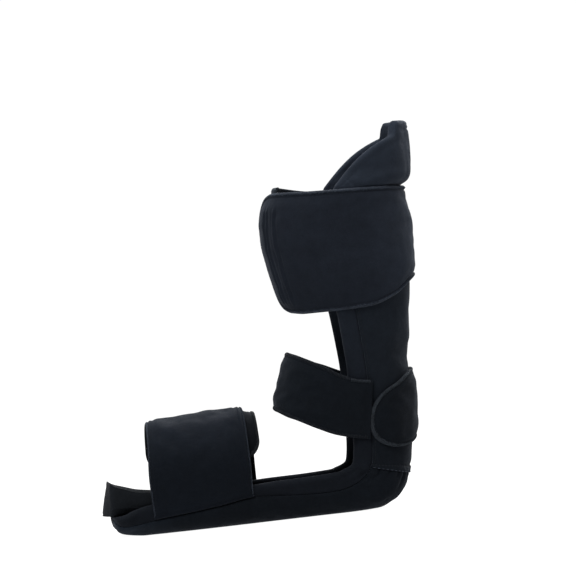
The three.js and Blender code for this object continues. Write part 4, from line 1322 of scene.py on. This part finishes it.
def line_on(data, rows, line):
    """Points and normals on a made face along a line of rows and distances from the middle."""
    _, runs, _, grid = data
    columns = [
        np.interp(run, runs[int(round(row))], np.arange(runs.shape[1]))
        for row, run in zip(rows, line)
    ]
    points = sample(grid, rows, columns)
    up = sample(normals_of(grid), rows, columns)
    middle = np.array([points[:, 0].mean(), 0, points[:, 2].mean()])
    if np.einsum("ij,ij->i", up, points - middle).mean() < 0:
        up = -up
    return points, up


def seam_line(data, inside, first, last):
    """Lines on both sides that follow the seam at a distance inside it."""
    places, _, halves, _ = data
    rows = np.flatnonzero((places >= first) & (places <= last))
    run = halves[rows] - sections_at(places)[rows, EDGE] - inside
    return [line_on(data, rows.astype(float), side * run) for side in (-1, 1)]


def hem_line(data, above):
    places, _, halves, _ = data
    row = np.interp(places[0] + above, places, np.arange(len(places)))
    edge = halves[0] - sections_at(places[:1])[0, EDGE] - 1.5
    run = np.linspace(-edge, edge, 260)
    return [line_on(data, np.full(run.shape, row), run)]


sides = seam_line(panel, 2.6, HEM_PLACE + 7, PANEL_END - 5)
stitches("hem_stitches", hem_line(panel, 1.2), 4.2, 2.6, 0.26, RIM_THREAD)
stitches("hem_topstitch", hem_line(panel, 6.2), 3.0, 2.1, 0.24, DARK_THREAD)
stitches("panel_topstitch", sides, 3.2, 2.3, 0.2, SEAM_THREAD)

# ------------------------------------------------------- floor and the light

SWEEP_BACK, SWEEP_RADIUS, SWEEP_HALF, SWEEP_TALL, SWEEP_NEAR = 10.0, 5.0, 17.5, 17.5, -10.0


def add_sweep():
    """A white floor that curves up into a backdrop."""
    material = bpy.data.materials.new("paper_white")
    material.use_nodes = True
    shader = material.node_tree.nodes["Principled BSDF"]
    shader.inputs["Base Color"].default_value = (0.12, 0.12, 0.12, 1)
    shader.inputs["Roughness"].default_value = 0.95
    shader.inputs["Specular IOR Level"].default_value = 0.0
    shader.inputs["Emission Color"].default_value = (1, 1, 1, 1)
    shader.inputs["Emission Strength"].default_value = 0.98
    floor_end = SWEEP_BACK - SWEEP_RADIUS
    profile = [(SWEEP_NEAR, 0.0), (floor_end, 0.0)]
    for a in np.linspace(0, math.pi / 2, 13)[1:]:
        across, up = SWEEP_RADIUS * math.sin(a), SWEEP_RADIUS * (1 - math.cos(a))
        profile.append((floor_end + across, up))
    profile.append((SWEEP_BACK, SWEEP_TALL))
    points = [(x, y, z) for x in (-SWEEP_HALF, SWEEP_HALF) for y, z in profile]
    count = len(profile)
    faces = [(i, i + 1, count + i + 1, count + i) for i in range(count - 1)]
    sweep = add_mesh("sweep", points, faces, material, 1.0)
    sweep.location.z = -0.0005


add_sweep()


def add_area(name, place, aim, size, power):
    data = bpy.data.lights.new(name, "AREA")
    data.shape = "RECTANGLE"
    data.size = data.size_y = size
    data.energy = power
    lamp = bpy.data.objects.new(name, data)
    scene.collection.objects.link(lamp)
    lamp.location = place
    lamp.rotation_euler = (Vector(aim) - Vector(place)).to_track_quat("-Z", "Y").to_euler()


add_area("key", (-0.7, -1.3, 1.45), (0, 0, 0.25), 1.0, 33)
add_area("top", (0.1, 0.1, 1.9), (0, 0, 0.1), 1.6, 57)
add_area("side", (1.4, -0.5, 1.1), (0.05, 0, 0.28), 0.8, 4)
add_area("back", (0.9, 1.7, 1.3), (0, 0, 0.2), 1.2, 36)

world = bpy.data.worlds.new("studio")
scene.world = world
world.use_nodes = True
background = world.node_tree.nodes["Background"]
background.inputs["Color"].default_value = (1, 1, 1, 1)
background.inputs["Strength"].default_value = 0.115
scene.view_settings.view_transform = "Standard"
